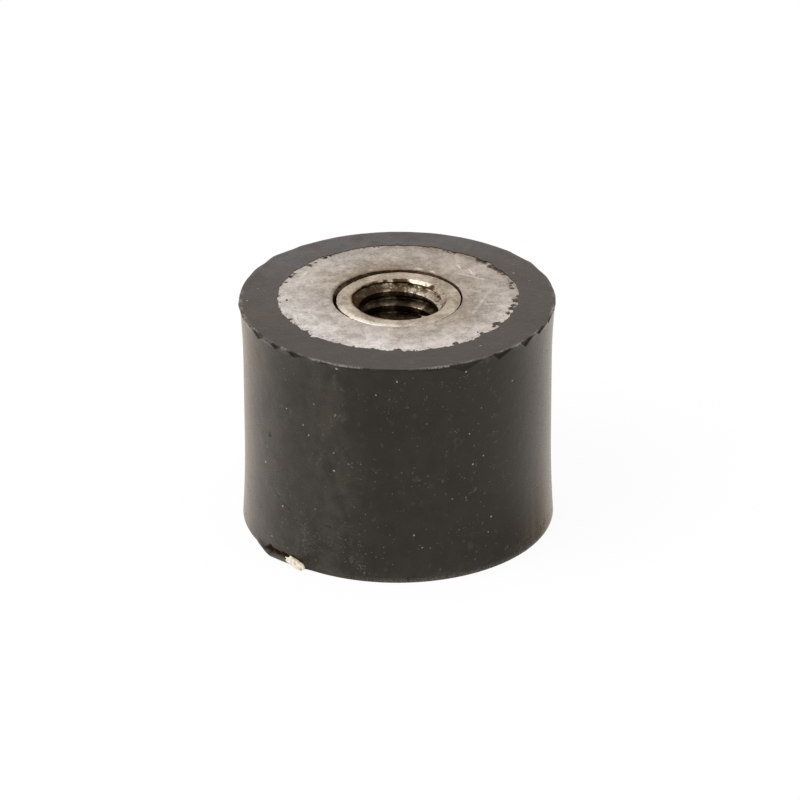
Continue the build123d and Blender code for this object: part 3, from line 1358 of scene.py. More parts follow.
@dataclass
class EndPlate:
    """A steel end plate, with the groove round the bush dark with grime and painted shade.

    Spots are dirt at the film's edge and on the face, and strokes are bright scrapes; the last three strokes
    are painted glints along the groove's outer edge.
    """

    seats: Seats
    end: End
    tree: TurningTree
    material: bpy.types.Material
    segments: int = 600
    groove_width: float = 0.2 * MM
    groove_shift: float = 0.23 * MM
    groove_widest: float = 88.0
    groove_depth: float = 0.4 * MM
    groove_wave: float = 0.008 * MM
    chamfer: float = 0.4 * MM
    round_in: float = 0.02 * MM
    round_out: float = 0.03 * MM
    least_gap: float = 0.02 * MM
    spots: tuple[Spot, ...] = tuple(
        Spot(angle, radius * MM, size * MM)
        for angle, radius, size in (
            (92.7, 7.99, 0.08), (61.5, 7.8, 0.2), (65.0, 7.7, 0.1), (47.0, 7.72, 0.27),
            (43.5, 7.75, 0.2), (38.5, 7.66, 0.27), (35.0, 7.68, 0.2), (31.5, 7.72, 0.22),
            (27.7, 7.72, 0.18), (17.7, 7.62, 0.16), (15.0, 7.45, 0.1), (12.3, 7.4, 0.2),
            (-1.5, 7.5, 0.28), (3.0, 7.62, 0.2), (-7.0, 7.4, 0.2), (-11.0, 7.32, 0.22),
            (-16.6, 7.26, 0.21), (-29.3, 7.1, 0.24), (-33.0, 7.2, 0.16), (-43.1, 7.2, 0.2),
            (-60.1, 7.25, 0.2), (-89.7, 7.22, 0.24), (-102.3, 7.4, 0.13), (-179.7, 6.98, 0.09),
            (160.3, 7.54, 0.11), (154.0, 7.6, 0.18), (150.0, 7.62, 0.12), (137.7, 7.55, 0.2),
            (134.0, 7.5, 0.12), (127.0, 7.7, 0.17), (124.0, 7.72, 0.12),
        )
    )
    strokes: tuple[Stroke, ...] = tuple(
        Stroke((x * MM, y * MM), (to_x * MM, to_y * MM), width * MM, strength)
        for x, y, to_x, to_y, width, strength in (
            (4.75, -2.0, 5.9, 1.3, 0.1, 0.55), (3.85, 5.1, 4.1, 4.4, 0.07, 1.0),
            (4.6, 4.4, 4.9, 3.5, 0.07, 1.0), (3.7, 3.85, 5.75, 2.75, 0.06, 0.8),
            (5.5, -0.75, 6.3, -0.65, 0.06, 1.0), (-6.2, 3.1, -5.75, 4.2, 0.09, 1.0),
            (-6.55, -1.75, -6.35, -2.9, 0.1, 1.0), (-5.7, -1.6, -4.75, -3.4, 0.16, 0.55),
            # The last three strokes are painted glints on the groove's outer edge.
            (-1.7, 4.15, -1.5, 4.22, 0.13, 1.5), (1.25, 4.48, 1.5, 4.4, 0.12, 1.4),
            (2.1, 4.1, 2.4, 3.9, 0.13, 1.5),
        )
    )
    piece: bpy.types.Object = field(init=False)

    def section(self) -> Section:
        """Draw half of the plate's section.

        Returns:
            The section.
        """
        seats = self.seats
        face = seats.place(self.end, seats.inset)
        back = seats.place(self.end, seats.plate_thickness)
        edge = seats.place(self.end, seats.plate_thickness - self.chamfer)
        foot = seats.place(self.end, self.groove_depth)
        step = self.round_out if self.end is End.LOWER else -self.round_out
        made = Section(seats.spigot_radius, back)
        made.to(seats.spigot_radius, foot, 2)
        made.to(seats.spigot_radius + self.groove_width - self.round_in, face + step, 6)
        made.to(seats.spigot_radius + self.groove_width + self.round_out, face, 2)
        made.to(seats.plate_radius, face, 62)
        made.to(seats.plate_radius, edge)
        made.to(seats.plate_radius - self.chamfer, back)
        made.to(seats.spigot_radius, back, 2)
        return made

    def build(self) -> None:
        """Turn the plate, open the groove to one side and keep where the face is pale, stained and grimy,
        with painted shade in the groove and painted glints at its edge.
        """
        name = f"{self.end.value}_end_plate"
        self.piece = self.tree.turn(name, self.section(), self.segments, self.material)
        polar = Polar(self.piece.data)
        depth = np.abs(polar.height - self.seats.place(self.end, 0.0))
        mouth = smooth(depth, self.groove_depth, self.seats.inset)
        moved = mouth * smooth(polar.radius, *self.seats.lean_fades)
        lean = polar.towards(self.groove_widest)
        ragged = self.groove_wave * polar.ripple(5, 6, 120, 0.5)
        flat = polar.radius - self.seats.spigot_radius - self.groove_width
        # The groove leans to its widest side, but leaves the bush a least gap all round.
        polar.radius += moved * (self.groove_shift * lean + ragged)
        across, deep = self.seats.off_centre
        bush = self.seats.spigot_radius + across * np.cos(polar.angle) + deep * np.sin(polar.angle)
        least = self.least_gap + polar.bump(-130.0, 0.035 * MM, 25.0)
        polar.radius = np.where(mouth > 0.5, np.maximum(polar.radius, bush + least), polar.radius)
        self.store_looks(polar, depth, flat)
        polar.write()
        face_outwards(self.piece.data)

    def store_looks(self, polar: Polar, depth: np.ndarray, flat: np.ndarray) -> None:
        """Keep how pale, stained and grimy each vertex is, with painted shade in the groove and painted
        glints at its edge.

        Args:
            polar: the plate's vertices.
            depth: how far each lies below the end face.
            flat: how far each lies outside the groove's edge.
        """
        # The face is palest towards its edge, at the front left.
        wave = polar.ripple(41, 3, 30, 0.8)
        pale = smooth(polar.radius + 0.2 * MM * wave, 4.7 * MM, 6.7 * MM)
        pale *= 0.6 + 0.42 * polar.towards(-123.0)
        near = smooth(polar.radius, 6.4 * MM, 5.0 * MM)
        pale += near * 0.42 * np.clip(polar.towards(-135.0), 0.0, 1.0)
        polar.store("pale", pale)
        # Brown stains: a halo outside the groove, rust at the film's edge, and three shady patches.
        back = np.clip(polar.towards(125.0), 0.0, 1.0)
        halo = smooth(flat, 0.32 * MM, 0.0) * (0.18 + 0.62 * back)
        rust = smooth(polar.radius, 7.2 * MM, 7.7 * MM) * 0.35 * np.clip(polar.towards(65.0), 0.0, 1.0)
        shady = polar.bump(110.0, 0.3, 35.0) * smooth(polar.radius, 6.9 * MM, 6.0 * MM)
        shady += polar.bump(-88.0, 0.22, 22.0) * smooth(np.abs(polar.radius - 5.5 * MM), 0.9 * MM, 0.3 * MM)
        shady += polar.bump(145.0, 0.2, 22.0) * smooth(polar.radius, 5.6 * MM, 6.4 * MM)
        polar.store("tint", np.maximum(halo, rust) + shady)
        # Grime and painted shade fill the groove, most towards the right, and grime lies in spots.
        right = np.clip(polar.towards(50.0), 0.0, 1.0)
        groove = smooth(depth, 0.032 * MM, 0.06 * MM) * (flat < 0.2 * MM) * (0.92 + 0.48 * right)
        x, y = polar.radius * np.cos(polar.angle), polar.radius * np.sin(polar.angle)
        upper = self.end is End.UPPER
        spots = sum(spot.at(x, y) for spot in self.spots) * upper * (depth < 0.1 * MM)
        polar.store("grime_and_shade", np.maximum(groove, 1.1 * np.minimum(spots, 1.0)))
        # Bright scrapes, and painted glints on the groove's outer edge.
        polar.store("scrapes_and_glints", upper * sum(stroke.at(x, y) for stroke in self.strokes))

    def dress(self) -> None:
        """Join the piece to the frame."""
        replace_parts(finish_piece(self.piece), f"{self.end.value}_plate")


@dataclass
class ThreadedBush:
    """A turned steel bush with its thread cut, flush with its plate and a little off its centre.

    Glints are places on the deeper turns left clear of grime and painted shade, so that the lamp's highlight
    shows there; cone_spots are dirty places in the countersink.
    """

    seats: Seats
    end: End
    tree: TurningTree
    material: bpy.types.Material
    segments: int = 400
    bore_radius: float = 2.52 * MM
    root_radius: float = 3.02 * MM
    pitch: float = 1.0 * MM
    root_flat: float = 0.0625 * MM
    root_depth: float = 0.6 * MM
    fine_depth: float = 3.2 * MM
    side_depth: float = 0.6 * MM
    mouth_radius: float = 3.04 * MM
    cone_depth: float = 0.52 * MM
    bevel_width: float = 0.42 * MM
    bevel_depth: float = 0.15 * MM
    spigot_end: float = 4.0 * MM
    hair: float = 0.005 * MM
    glints: tuple[Bump, ...] = (Bump(104.0, 1.3, 10.0), Bump(63.0, 1.35, 9.0))
    cone_spots: tuple[Bump, ...] = (Bump(88.5, 1.1, 6.5), Bump(107.0, 0.8, 3.0), Bump(44.0, 0.7, 4.0))
    piece: bpy.types.Object = field(init=False)

    def section(self) -> Section:
        """Draw half of the bush's section, from the bore's inner end round and back to it.

        Returns:
            The section.
        """
        seats = self.seats

        def at(depth: float) -> float:
            """Return the height at a depth below the bush's end face."""
            return seats.place(self.end, depth)

        made = Section(self.bore_radius, at(seats.bush_length))
        made.to(self.bore_radius, at(self.fine_depth), 60)
        made.to(self.bore_radius, at(seats.inset + self.cone_depth), 95)
        made.to(self.mouth_radius, at(seats.inset), 10)
        made.to(seats.spigot_radius - self.bevel_width, at(seats.inset), 6)
        made.along(lambda share: self.rounding(share * math.pi / 2.0), 7)
        made.to(seats.spigot_radius, at(self.side_depth), 4)
        made.to(seats.spigot_radius, at(seats.plate_thickness))
        made.to(seats.shoulder_radius, at(seats.plate_thickness))
        made.to(seats.shoulder_radius, at(seats.bush_length))
        made.to(self.bore_radius, at(seats.bush_length), 2)
        return made

    def build(self) -> None:
        """Turn the bush, cut its thread, burr its mouth and fill the roots on one side with grease."""
        first_root = self.seats.place(self.end, self.root_depth)
        thread = Thread(self.root_radius, first_root, self.pitch, self.root_flat)
        name = f"{self.end.value}_threaded_bush"
        self.piece = self.tree.turn(name, self.section(), self.segments, self.material, thread)
        polar = Polar(self.piece.data)
        depth = np.abs(polar.height - self.seats.place(self.end, 0.0))
        self.widen_bevel(polar, depth)
        burr = polar.bump(-59.0, 0.2 * MM, 2.2) + polar.bump(-145.0, 0.09 * MM, 35.0)
        burr *= smooth(depth, 0.28 * MM, 0.06 * MM)
        grease = polar.bump(182.0, 0.8, 55.0) * smooth(depth, 0.7 * MM, 1.2 * MM)
        inside = polar.radius < self.mouth_radius + 0.01 * MM
        polar.radius -= inside * (burr + grease * (polar.radius - self.bore_radius))
        self.store_looks(polar, depth)
        polar.write(self.seats.off_centre, smooth(polar.radius, *self.seats.lean_fades))
        face_outwards(self.piece.data)

    def rounding(self, turn: float) -> tuple[float, float]:
        """Work out a point of the rounded edge of the face.

        Args:
            turn: from the face (0) to the side (a quarter turn).

        Returns:
            The point's radius and height.
        """
        radius = self.seats.spigot_radius - self.bevel_width * (1.0 - math.sin(turn))
        depth = self.seats.inset + self.bevel_depth * (1.0 - math.cos(turn))
        return radius, self.seats.place(self.end, depth)

    def widen_bevel(self, polar: Polar, depth: np.ndarray) -> None:
        """Make the bevel round the face wide on one side and slight elsewhere, and spread its lip a little.

        Args:
            polar: the bush's vertices.
            depth: how far each lies below the end face.
        """
        spigot = self.seats.spigot_radius
        edge = (polar.radius > spigot - self.bevel_width - self.hair) & (polar.radius < self.spigot_end)
        edge &= depth < self.seats.inset + self.bevel_depth + self.hair
        # The bevel is drawn in towards the spigot's side where it is slight.
        size = 0.22 + 0.8 * smooth(polar.towards(-127.0), 0.35, 0.85)
        size += 0.04 * polar.ripple(19, 5, 60, 0.5)
        shallow = (depth - self.seats.inset) * size + self.seats.inset
        sign = 1.0 if self.end is End.LOWER else -1.0
        polar.radius = np.where(edge, spigot - (spigot - polar.radius) * size, polar.radius)
        # Its lip stands out on the left and is pushed in at the back left.
        lip = smooth(depth, 0.45 * MM, 0.2 * MM) * smooth(polar.radius, 3.6 * MM, 3.8 * MM)
        lip *= polar.radius < self.spigot_end
        polar.radius += lip * (polar.bump(193.0, 0.085 * MM, 36.0) - polar.bump(138.0, 0.1 * MM, 28.0))
        polar.height = np.where(edge, self.seats.place(self.end, 0.0) + sign * shallow, polar.height)

    def store_looks(self, polar: Polar, depth: np.ndarray) -> None:
        """Keep how stained and grimy each vertex is; the bore is dark with oil and painted shade.

        Args:
            polar: the bush's vertices.
            depth: how far each lies below the end face.
        """
        inside = polar.radius < self.mouth_radius + 0.01 * MM
        right = smooth(polar.towards(30.0), 0.0, 0.8)
        left = smooth(polar.towards(182.0), 0.1, 0.65)
        below_edge = smooth(depth, self.seats.inset + 0.01 * MM, 0.1 * MM)
        cone = smooth(depth, 0.36 * MM, 0.28 * MM)
        # The countersink and the first turn are darkest on the left, with grime and painted shade; the deeper
        # turns are dark with painted shade, most at their crests.
        first = 0.32 + 0.78 * left + 0.04 * right
        first += polar.bump(88.0, 0.42, 12.0) - polar.bump(112.0, 0.2, 7.0)
        bottom = 1.0 - 0.25 * smooth(depth, 2.2 * MM, 3.0 * MM)
        bottom += 0.4 * smooth(polar.radius, 2.6 * MM, 2.54 * MM)
        grime_and_shade = first + (bottom - first) * smooth(depth, 0.92 * MM, 1.1 * MM)
        # The roots are darker than the flanks too, with grime and painted shade.
        root = smooth(polar.radius, 2.8 * MM, 2.95 * MM) * smooth(depth, 0.9 * MM, 1.1 * MM)
        grime_and_shade += 0.3 * root - 0.05 * cone * right
        # The glints clear grime and painted shade from two places on the deeper turns.
        for glint in self.glints:
            begins = smooth(depth, 1.15 * MM, 1.3 * MM)
            grime_and_shade -= glint.at(polar.angle) * begins * smooth(depth, 2.6 * MM, 2.4 * MM)
        for spot in self.cone_spots:
            grime_and_shade += cone * spot.at(polar.angle)
        grime_and_shade = inside * np.clip(grime_and_shade * below_edge, 0.0, 1.3)
        # The gap round the spigot is painted as dark as its groove: painted shade between bush and plate.
        spigot = self.seats.spigot_radius
        gap = (polar.radius > spigot - 0.02 * MM) * smooth(depth, 0.08 * MM, 0.15 * MM)
        polar.store("grime_and_shade", np.maximum(grime_and_shade, gap))
        # The bore is tinted brown, more deep down and on the left, partly stain and partly painted shade.
        tint = 0.2 + 0.3 * smooth(depth, 0.8 * MM, 1.2 * MM) + 0.5 * left
        polar.store("tint", inside * np.clip(tint, 0.0, 1.0))
        # The edge of the face at the front left is painted pale: a painted highlight on the bevel.
        edge = smooth(polar.radius, spigot - 0.35 * MM, spigot - 0.25 * MM)
        polar.store("pale", polar.bump(-128.0, 0.9, 38.0) * edge)
        polar.store("scrapes_and_glints", np.zeros_like(depth))

    def dress(self) -> None:
        """Join the piece to the frame."""
        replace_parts(finish_piece(self.piece, sharp=50.0), f"{self.end.value}_bush")


@dataclass(frozen=True)
class Grains:
    """One kind of loose grain that sticks to a piece; the density is the most grains in a square metre."""

    finish: CrumbFinish
    density: float
    radius: float
    seed: int
    flatness: float

    def strew(self, tree: ScatterTree, polar: Polar, share: np.ndarray) -> None:
        """Strew the grains over a mesh and join them to the frame.

        Args:
            tree: the tree that strews them.
            polar: a copy of the mesh that they lie on; it is used up.
            share: for each vertex, the share of the full density there.
        """
        polar.store("grain_share", share)
        sizes = {
            "Density": self.density,
            "Share Attribute": "grain_share",
            "Grain Radius": self.radius,
            "Flatness": self.flatness,
            "Seed": self.seed,
            "Material": self.finish.material(),
        }
        finish_piece(grow(self.finish.name.replace(" ", "_"), polar.mesh, tree.tree, sizes))


@dataclass(frozen=True)
class Smudge:
    """A patch of dust on the wall: its angle in degrees and height, its half-sizes and its slant."""

    angle: float
    height: float
    width: float
    tall: float
    slant: float
    strength: float

    def at(self, wall: Polar) -> np.ndarray:
        """Work out the patch's dust.

        Args:
            wall: the wall's vertices.

        Returns:
            How dusty each of them is.
        """
        along = wall.radius * gap_from(wall.angle, self.angle)
        off = wall.height - self.height - self.slant * along
        return self.strength * np.exp(-((along / self.width) ** 2) - (off / self.tall) ** 2)


@dataclass
class Dirt:
    """What lies on the mount: dust on the rubber, bits of rubber on the upper plate, and a dried crumb."""

    rubber: RubberBody
    plate: EndPlate
    tree: ScatterTree
    fine_dust: Grains = Grains(
        CrumbFinish("fine dust", (0.09, 0.083, 0.07), (0.045, 0.041, 0.034)), 1.3e6, 0.055 * MM, 4, 0.2
    )
    coarse_dust: Grains = Grains(
        CrumbFinish("coarse dust", (0.2, 0.185, 0.16), (0.1, 0.092, 0.08)), 5.0e4, 0.065 * MM, 9, 0.25
    )
    pale_smudges: Grains = Grains(
        CrumbFinish("pale smudges", (0.11, 0.1, 0.084), (0.045, 0.041, 0.034)), 1.3e7, 0.032 * MM, 21, 0.2
    )
    dark_smudges: Grains = Grains(
        CrumbFinish("dark smudges", (0.02, 0.015, 0.01), (0.01, 0.008, 0.005), 0.9, 0.0),
        5.5e7, 0.03 * MM, 22, 0.2,
    )
    film_bits: Grains = Grains(
        CrumbFinish("film bits", (0.02, 0.017, 0.012), (0.06, 0.045, 0.03)), 7.0e6, 0.05 * MM, 2, 0.25
    )
    speck_finish: CrumbFinish = CrumbFinish("pale specks", (0.34, 0.32, 0.28), (0.2, 0.185, 0.16))
    speck_half: tuple[float, float, float] = (0.075 * MM, 0.06 * MM, 0.025 * MM)
    crumb_finish: CrumbFinish = CrumbFinish("dried crumb", (0.8, 0.73, 0.6), (0.6, 0.52, 0.4))
    crumb_angle: float = -130.1
    crumb_reach: float = 10.2 * MM
    crumb_rise: float = 0.23 * MM
    crumb_tilt: tuple[float, float] = (0.97, 0.22)
    wall_angles: tuple[float, float, int] = (-175.0, -5.0, 420)
    wall_heights: tuple[float, float, int] = (0.2 * MM, 14.6 * MM, 150)
    crumb_half: tuple[float, float, float] = (0.68 * MM, 0.27 * MM, 0.23 * MM)
    crumb_lumps: tuple[tuple[float, float], ...] = (
        (1.6, 0.14), (3.1, 0.13), (5.5, 0.05), (9.0, 0.03), (15.0, 0.012),
    )
    pale: tuple[Smudge, ...] = tuple(
        Smudge(angle, height * MM, width * MM, tall * MM, slant, strength)
        for angle, height, width, tall, slant, strength in (
            (-140.5, 4.4, 0.5, 0.25, 0.0, 5.0), (-144.0, 6.9, 0.3, 0.15, 0.0, 4.0),
            (-134.0, 3.6, 1.4, 0.25, -0.75, 3.5), (-126.5, 2.0, 0.35, 1.2, 0.0, 6.0),
            (-135.0, 1.0, 0.8, 0.4, 0.0, 3.5), (-106.5, 1.3, 1.1, 0.35, -0.6, 3.5),
            (-109.0, 3.7, 0.7, 0.12, 0.0, 2.5), (-78.0, 12.2, 0.35, 0.08, 0.5, 9.0),
            (-79.8, 13.0, 0.1, 0.5, 0.0, 5.0), (-68.0, 10.3, 0.3, 0.06, 0.0, 8.0),
            (-52.0, 9.45, 0.7, 0.08, 0.1, 6.0), (-89.0, 5.0, 0.5, 0.1, 0.3, 4.0),
            (-60.5, 7.5, 0.12, 0.4, -1.0, 6.0), (-50.0, 5.8, 1.6, 0.8, 0.0, 0.6),
            (-64.0, 3.4, 1.4, 0.5, 0.2, 0.7), (-70.0, 13.7, 1.2, 0.4, 0.1, 1.0),
            (-95.0, 12.6, 1.6, 0.9, 0.0, 0.6), (-117.0, 2.7, 2.6, 1.5, 0.0, 0.8),
            (-35.0, 0.5, 2.2, 0.35, 0.0, 3.0), (-18.0, 0.5, 1.6, 0.35, 0.0, 2.0),
        )
    )
    dark: tuple[Smudge, ...] = tuple(
        Smudge(angle, height * MM, width * MM, tall * MM, slant, strength)
        for angle, height, width, tall, slant, strength in (
            (-121.8, 3.0, 0.3, 0.1, 0.0, 5.0), (-115.5, 3.4, 0.4, 0.1, 0.0, 5.0),
            (-122.0, 1.75, 0.5, 0.1, 0.3, 6.0), (-115.5, 1.9, 0.5, 0.1, -0.4, 6.0),
            (-137.5, 4.0, 0.8, 0.12, -0.6, 3.0), (-145.2, 8.3, 0.12, 0.15, 0.0, 8.0),
            (-21.0, 0.7, 0.5, 0.18, 0.0, 2.5), (-30.0, 0.45, 2.0, 0.25, 0.0, 0.8),
            (-126.0, 0.6, 0.5, 0.4, 0.0, 3.0),
        )
    )
    specks: tuple[tuple[float, float, float], ...] = (
        (-90.2, 14.15, 0.9), (-64.8, 14.35, 0.9), (-43.5, 12.6, 0.8), (-61.5, 7.7, 0.9),
        (-84.2, 3.3, 0.8), (-113.2, 11.4, 0.8), (-114.0, 7.45, 1.0), (-137.8, 3.7, 0.9),
        (-143.8, 1.15, 0.8), (-112.2, 14.72, 1.3), (-148.3, 6.1, 1.3), (-122.0, 11.8, 0.7),
        (-97.8, 13.15, 0.7), (-81.2, 2.4, 0.7), (-135.0, 10.8, 0.7), (-127.0, 10.1, 0.8),
        (-113.5, 11.3, 0.6), (-58.0, 11.5, 0.6), (-57.0, 8.1, 0.8), (-63.0, 9.9, 0.7),
        (-53.5, 3.6, 0.9), (-55.0, 2.6, 0.7), (-122.0, 4.4, 0.6), (-147.0, 7.3, 0.7),
        (-114.0, 8.7, 0.7), (-124.5, 9.5, 0.8),
    )
    ring_specks: tuple[tuple[float, float, float], ...] = (
        (26.5, 8.3, 0.9), (34.0, 9.0, 0.7), (17.0, 8.8, 0.6), (170.0, 9.0, 0.5), (-179.0, 9.5, 1.0),
    )

    def build(self) -> None:
        """Make every kind of dirt and join it to the frame."""
        self.smudge_wall(self.pale_smudges, self.pale)
        self.smudge_wall(self.dark_smudges, self.dark)
        self.dust_rubber(self.fine_dust)
        self.dust_rubber(self.coarse_dust)
        self.strew_bits()
        self.place_specks()
        self.crumb()

    def smudge_wall(self, grains: Grains, smudges: tuple[Smudge, ...]) -> None:
        """Smudge the front of the wall with very fine grains.

        Args:
            grains: what the smudges are made of.
            smudges: where they lie.
        """
        sheet = self.wall_sheet()
        share = np.clip(sum(smudge.at(sheet) for smudge in smudges), 0.0, 9.0)
        share *= np.clip(1.0 + 0.7 * sheet.ripple(9, 20, 160, 0.2), 0.1, 3.0)
        grains.strew(self.tree, sheet, share)

    def dust_rubber(self, grains: Grains) -> None:
        """Dust the front and the back of the wall and, more thinly, the upper ring.

        Args:
            grains: the dust.
        """
        top = self.rubber.seats.height
        polar = Polar(self.rubber.piece.data.copy())
        wall = smooth(polar.radius, 9.4 * MM, 9.6 * MM) * smooth(polar.height, 0.1 * MM, 0.5 * MM)
        wall *= 0.05 + 0.95 * smooth(np.abs(np.cos(polar.angle)), 0.94, 0.82)
        ring = smooth(polar.radius, 8.1 * MM, 8.4 * MM)
        ring *= smooth(polar.height, top - 0.04 * MM, top - 0.02 * MM)
        waves = polar.ripple(3, 2, 16, 0.4) * Ripple(8, 2, 16, 0.4).at(polar.height / top * TURN)
        patchy = np.clip(0.5 + 0.6 * waves, 0.12, 1.0)
        grains.strew(self.tree, polar, np.maximum(wall * patchy * (1.0 - ring), 0.12 * ring))

    def wall_sheet(self) -> Polar:
        """Make a fine mesh of the front of the wall, only to strew on.

        Returns:
            Its vertices.
        """
        angles = np.radians(np.linspace(*self.wall_angles))
        heights = np.linspace(*self.wall_heights)
        radii = np.array([self.rubber.wall(height) for height in heights])
        mesh = bpy.data.meshes.new("wall sheet")
        places = np.stack(
            [
                np.outer(np.cos(angles), radii),
                np.outer(np.sin(angles), radii),
                np.broadcast_to(heights, (len(angles), len(heights))),
            ],
            axis=-1,
        )
        rows = len(heights)
        corners = (np.arange(len(angles) - 1)[:, None] * rows + np.arange(rows - 1)).ravel()
        faces = np.stack([corners, corners + rows, corners + rows + 1, corners + 1], axis=1)
        mesh.from_pydata(places.reshape(-1, 3).tolist(), [], faces.tolist())
        return Polar(mesh)

    def place_specks(self) -> None:
        """Stick the largest pale specks to the wall and to the upper ring, each at a place of its own."""
        mesh = bpy.data.meshes.new("specks")
        shape = bmesh.new()
        chance = np.random.default_rng(6)
        for angle, height, size in self.specks:
            turn = math.radians(angle)
            out = Vector((math.cos(turn), math.sin(turn), 0.0))
            place = out * self.rubber.wall(height * MM) + Vector((0.0, 0.0, height * MM))
            self.stick(shape, place, out, size, chance.uniform(0.0, TURN))
        for angle, radius, size in self.ring_specks:
            turn = math.radians(angle)
            x, y = radius * MM * math.cos(turn), radius * MM * math.sin(turn)
            place = Vector((x, y, self.rubber.seats.height))
            self.stick(shape, place, Vector((0.0, 0.0, 1.0)), size, chance.uniform(0.0, TURN))
        shape.to_mesh(mesh)
        shape.free()
        piece = add_object("pale_specks", mesh)
        mesh.materials.append(self.speck_finish.material())
        finish_piece(piece)

    def stick(self, shape: bmesh.types.BMesh, place: Vector, out: Vector, size: float, turn: float) -> None:
        """Add one flattened speck to a shape.

        Args:
            shape: what the speck is added to.
            place: the speck's middle, on the surface.
            out: the surface's normal.
            size: 1 for a speck of ordinary size.
            turn: how far it is turned about the normal.
        """
        lie = Matrix.Rotation(turn, 4, out) @ out.to_track_quat("Z", "X").to_matrix().to_4x4()
        long, wide, thick = self.speck_half
        scale = Matrix.Diagonal((long * size, wide * size, thick, 1.0))
        matrix = Matrix.Translation(place) @ lie @ scale
        bmesh.ops.create_icosphere(shape, subdivisions=2, radius=1.0, matrix=matrix)

    def strew_bits(self) -> None:
        """Leave bits of torn film on the plate, close to the film's edge."""
        polar = Polar(self.plate.piece.data.copy())
        away = self.rubber.film_edge(polar.angle) - polar.radius
        share = smooth(away, 0.45 * MM, 0.05 * MM) * (away > -0.1 * MM)
        share *= polar.height > self.plate.seats.height - 0.05 * MM
        self.film_bits.strew(self.tree, polar, share)

    def crumb(self) -> None:
        """Stick the dried crumb of release compound to the lower rim."""
        mesh = bpy.data.meshes.new("crumb")
        shape = bmesh.new()
        bmesh.ops.create_icosphere(shape, subdivisions=5, radius=1.0)
        shape.to_mesh(mesh)
        shape.free()
        places = np.empty(len(mesh.vertices) * 3)
        mesh.vertices.foreach_get("co", places)
        places = places.reshape(-1, 3)
        chance = np.random.default_rng(12)
        swell = np.ones(len(places))
        for crests, depth in self.crumb_lumps:
            for _ in range(3):
                way = chance.normal(size=3)
                phase = crests * places @ way / np.linalg.norm(way) * 1.5
                swell += depth * np.sin(phase + chance.uniform(0.0, TURN))
        places *= swell[:, None] * np.array(self.crumb_half)
        angle = math.radians(self.crumb_angle)
        outwards = np.array((math.cos(angle), math.sin(angle), 0.0))
        along = np.array((-math.sin(angle), math.cos(angle), 0.0))
        up = np.array((0.0, 0.0, 1.0))
        straight, slant = self.crumb_tilt
        tilted = up * straight - along * slant
        centre = outwards * self.crumb_reach + up * self.crumb_rise
        placed = centre + places @ np.stack([along - up * slant, outwards, tilted])
        placed[:, 2] = np.maximum(placed[:, 2], 0.005 * MM)
        mesh.vertices.foreach_set("co", placed.ravel())
        piece = add_object("dried_crumb", mesh)
        mesh.materials.append(self.crumb_finish.material())
        finish_piece(piece, sharp=60.0)


# ---------------------------------------------------------------------------------------------
# The studio
# ---------------------------------------------------------------------------------------------


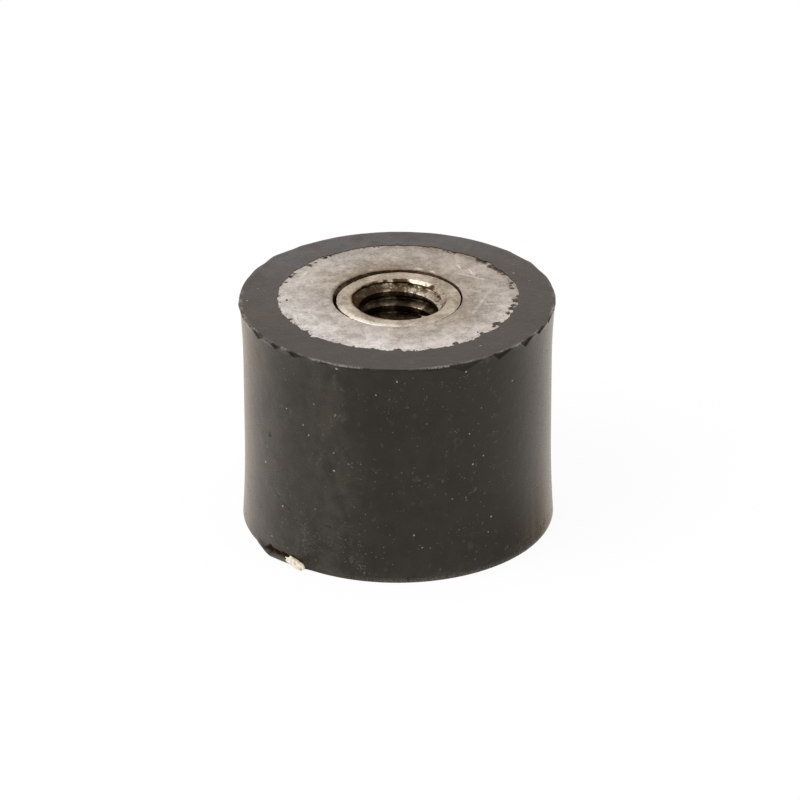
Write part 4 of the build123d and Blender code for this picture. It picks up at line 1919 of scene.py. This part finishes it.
@dataclass(frozen=True)
class Studio:
    """White floor and surround, soft lamps and the camera."""

    centre: Vector = Vector((0.144 * MM, 0.0, 7.822 * MM))
    distance: float = 336.4 * MM
    pitch: float = math.radians(27.033)
    roll: float = math.radians(-0.212)
    lens: float = 236.93
    sensor: float = 36.0
    clip_start: float = 0.01
    floor_size: float = 3.0
    floor_grey: float = 0.9
    shadow_share: float = 0.07
    fill: float = 0.85
    key_place: Vector = Vector((-0.32, -0.16, 0.42))
    key_size: float = 0.34
    key_power: float = 1.6

    def build(self) -> None:
        """Make the floor, the surround, the lamp and the camera."""
        self.floor()
        self.surround()
        self.lamp()
        self.camera()

    @staticmethod
    def seen_directly(sheet: Sheet) -> Socket:
        """Tell rays from the camera or off a mirror or glass from the rest.

        Args:
            sheet: the sheet of the material or the world.

        Returns:
            1 for such a ray, 0 for another one.
        """
        path = sheet.node("ShaderNodeLightPath").outputs
        seen = sheet.most(path["Is Camera Ray"], path["Is Glossy Ray"])
        return sheet.most(seen, path["Is Transmission Ray"])

    def floor(self) -> None:
        """Lay a pale floor that reads as white and keeps a little of the object's shadow."""
        half = self.floor_size / 2.0
        mesh = bpy.data.meshes.new("floor")
        corners = [(-half, -half, 0.0), (half, -half, 0.0), (half, half, 0.0), (-half, half, 0.0)]
        mesh.from_pydata(corners, [], [(0, 1, 2, 3)])
        made = bpy.data.materials.new("floor")
        made.use_nodes = True
        sheet = Sheet(made.node_tree)
        made.node_tree.nodes.remove(made.node_tree.nodes["Principled BSDF"])
        grey = self.floor_grey
        paint = sheet.node("ShaderNodeBsdfDiffuse", {"Color": (grey, grey, grey, 1.0)})
        glow = sheet.node("ShaderNodeEmission", {"Color": (1.0, 1.0, 1.0, 1.0), "Strength": 1.0})
        share = sheet.times(self.seen_directly(sheet), 1.0 - self.shadow_share)
        mixed = sheet.node("ShaderNodeMixShader", {0: share, 1: paint.outputs[0], 2: glow.outputs[0]})
        sheet.feed(made.node_tree.nodes["Material Output"].inputs["Surface"], mixed.outputs[0])
        mesh.materials.append(made)
        add_object("floor", mesh)

    def surround(self) -> None:
        """Fill the world with soft white light."""
        world = bpy.data.worlds.new("surround")
        world.use_nodes = True
        sheet = Sheet(world.node_tree)
        background = world.node_tree.nodes["Background"]
        background.inputs["Color"].default_value = (1.0, 1.0, 1.0, 1.0)
        span = {"Value": self.seen_directly(sheet), "To Min": self.fill, "To Max": 1.0}
        sheet.feed(background.inputs["Strength"], sheet.node("ShaderNodeMapRange", span).outputs[0])
        bpy.context.scene.world = world

    def lamp(self) -> None:
        """Hang the square soft key lamp, which faces the mount."""
        data = bpy.data.lights.new("key", "AREA")
        data.size = self.key_size
        data.energy = self.key_power
        lamp = add_object("key", data)
        lamp.location = self.key_place
        lamp.rotation_euler = (self.centre - self.key_place).to_track_quat("-Z", "Y").to_euler()

    def camera(self) -> None:
        """Stand the camera in front, looking down on the mount."""
        forward = Vector((0.0, math.cos(self.pitch), -math.sin(self.pitch)))
        upright = Vector((0.0, math.sin(self.pitch), math.cos(self.pitch)))
        side = Vector((1.0, 0.0, 0.0))
        right = side * math.cos(self.roll) + upright * math.sin(self.roll)
        up = upright * math.cos(self.roll) - side * math.sin(self.roll)
        data = bpy.data.cameras.new("camera")
        data.lens = self.lens
        data.sensor_width = self.sensor
        data.clip_start = self.clip_start
        camera = add_object("camera", data)
        turn = Matrix((right, up, -forward)).transposed().to_4x4()
        camera.matrix_world = Matrix.Translation(self.centre - forward * self.distance) @ turn
        bpy.context.scene.camera = camera


def main() -> None:
    """Build and dress the mount, piece by piece, and set up the studio."""
    logging.basicConfig(level=logging.INFO, format="%(name)s: %(message)s")
    bpy.context.scene.view_settings.view_transform = "Standard"
    seats = Seats.from_frame()
    stains, scratches = StainGroup(), ScratchGroup()
    turning, scatter = TurningTree(), ScatterTree()
    plate_steel = SteelFinish("plate steel", stains, scratches).material()
    bush_steel = SteelFinish(
        "bush steel",
        stains,
        scratches,
        plate=(0.54, 0.46, 0.375),
        pale=(0.84, 0.76, 0.66),
        grime_and_shade=(0.12, 0.084, 0.048),
        black=(0.05, 0.034, 0.02),
        roughness=0.42,
        edge=(0.5, 0.46, 0.42),
        turned=True,
    ).material()

    rubber = RubberBody(seats, turning, RubberFinish(stains))
    rubber.build()
    rubber.dress()
    plates = {end: EndPlate(seats, end, turning, plate_steel) for end in End}
    for end in End:
        for part in (plates[end], ThreadedBush(seats, end, turning, bush_steel)):
            part.build()
            part.dress()
    Dirt(rubber, plates[End.UPPER], scatter).build()
    Studio().build()


if __name__ == "__main__":
    main()
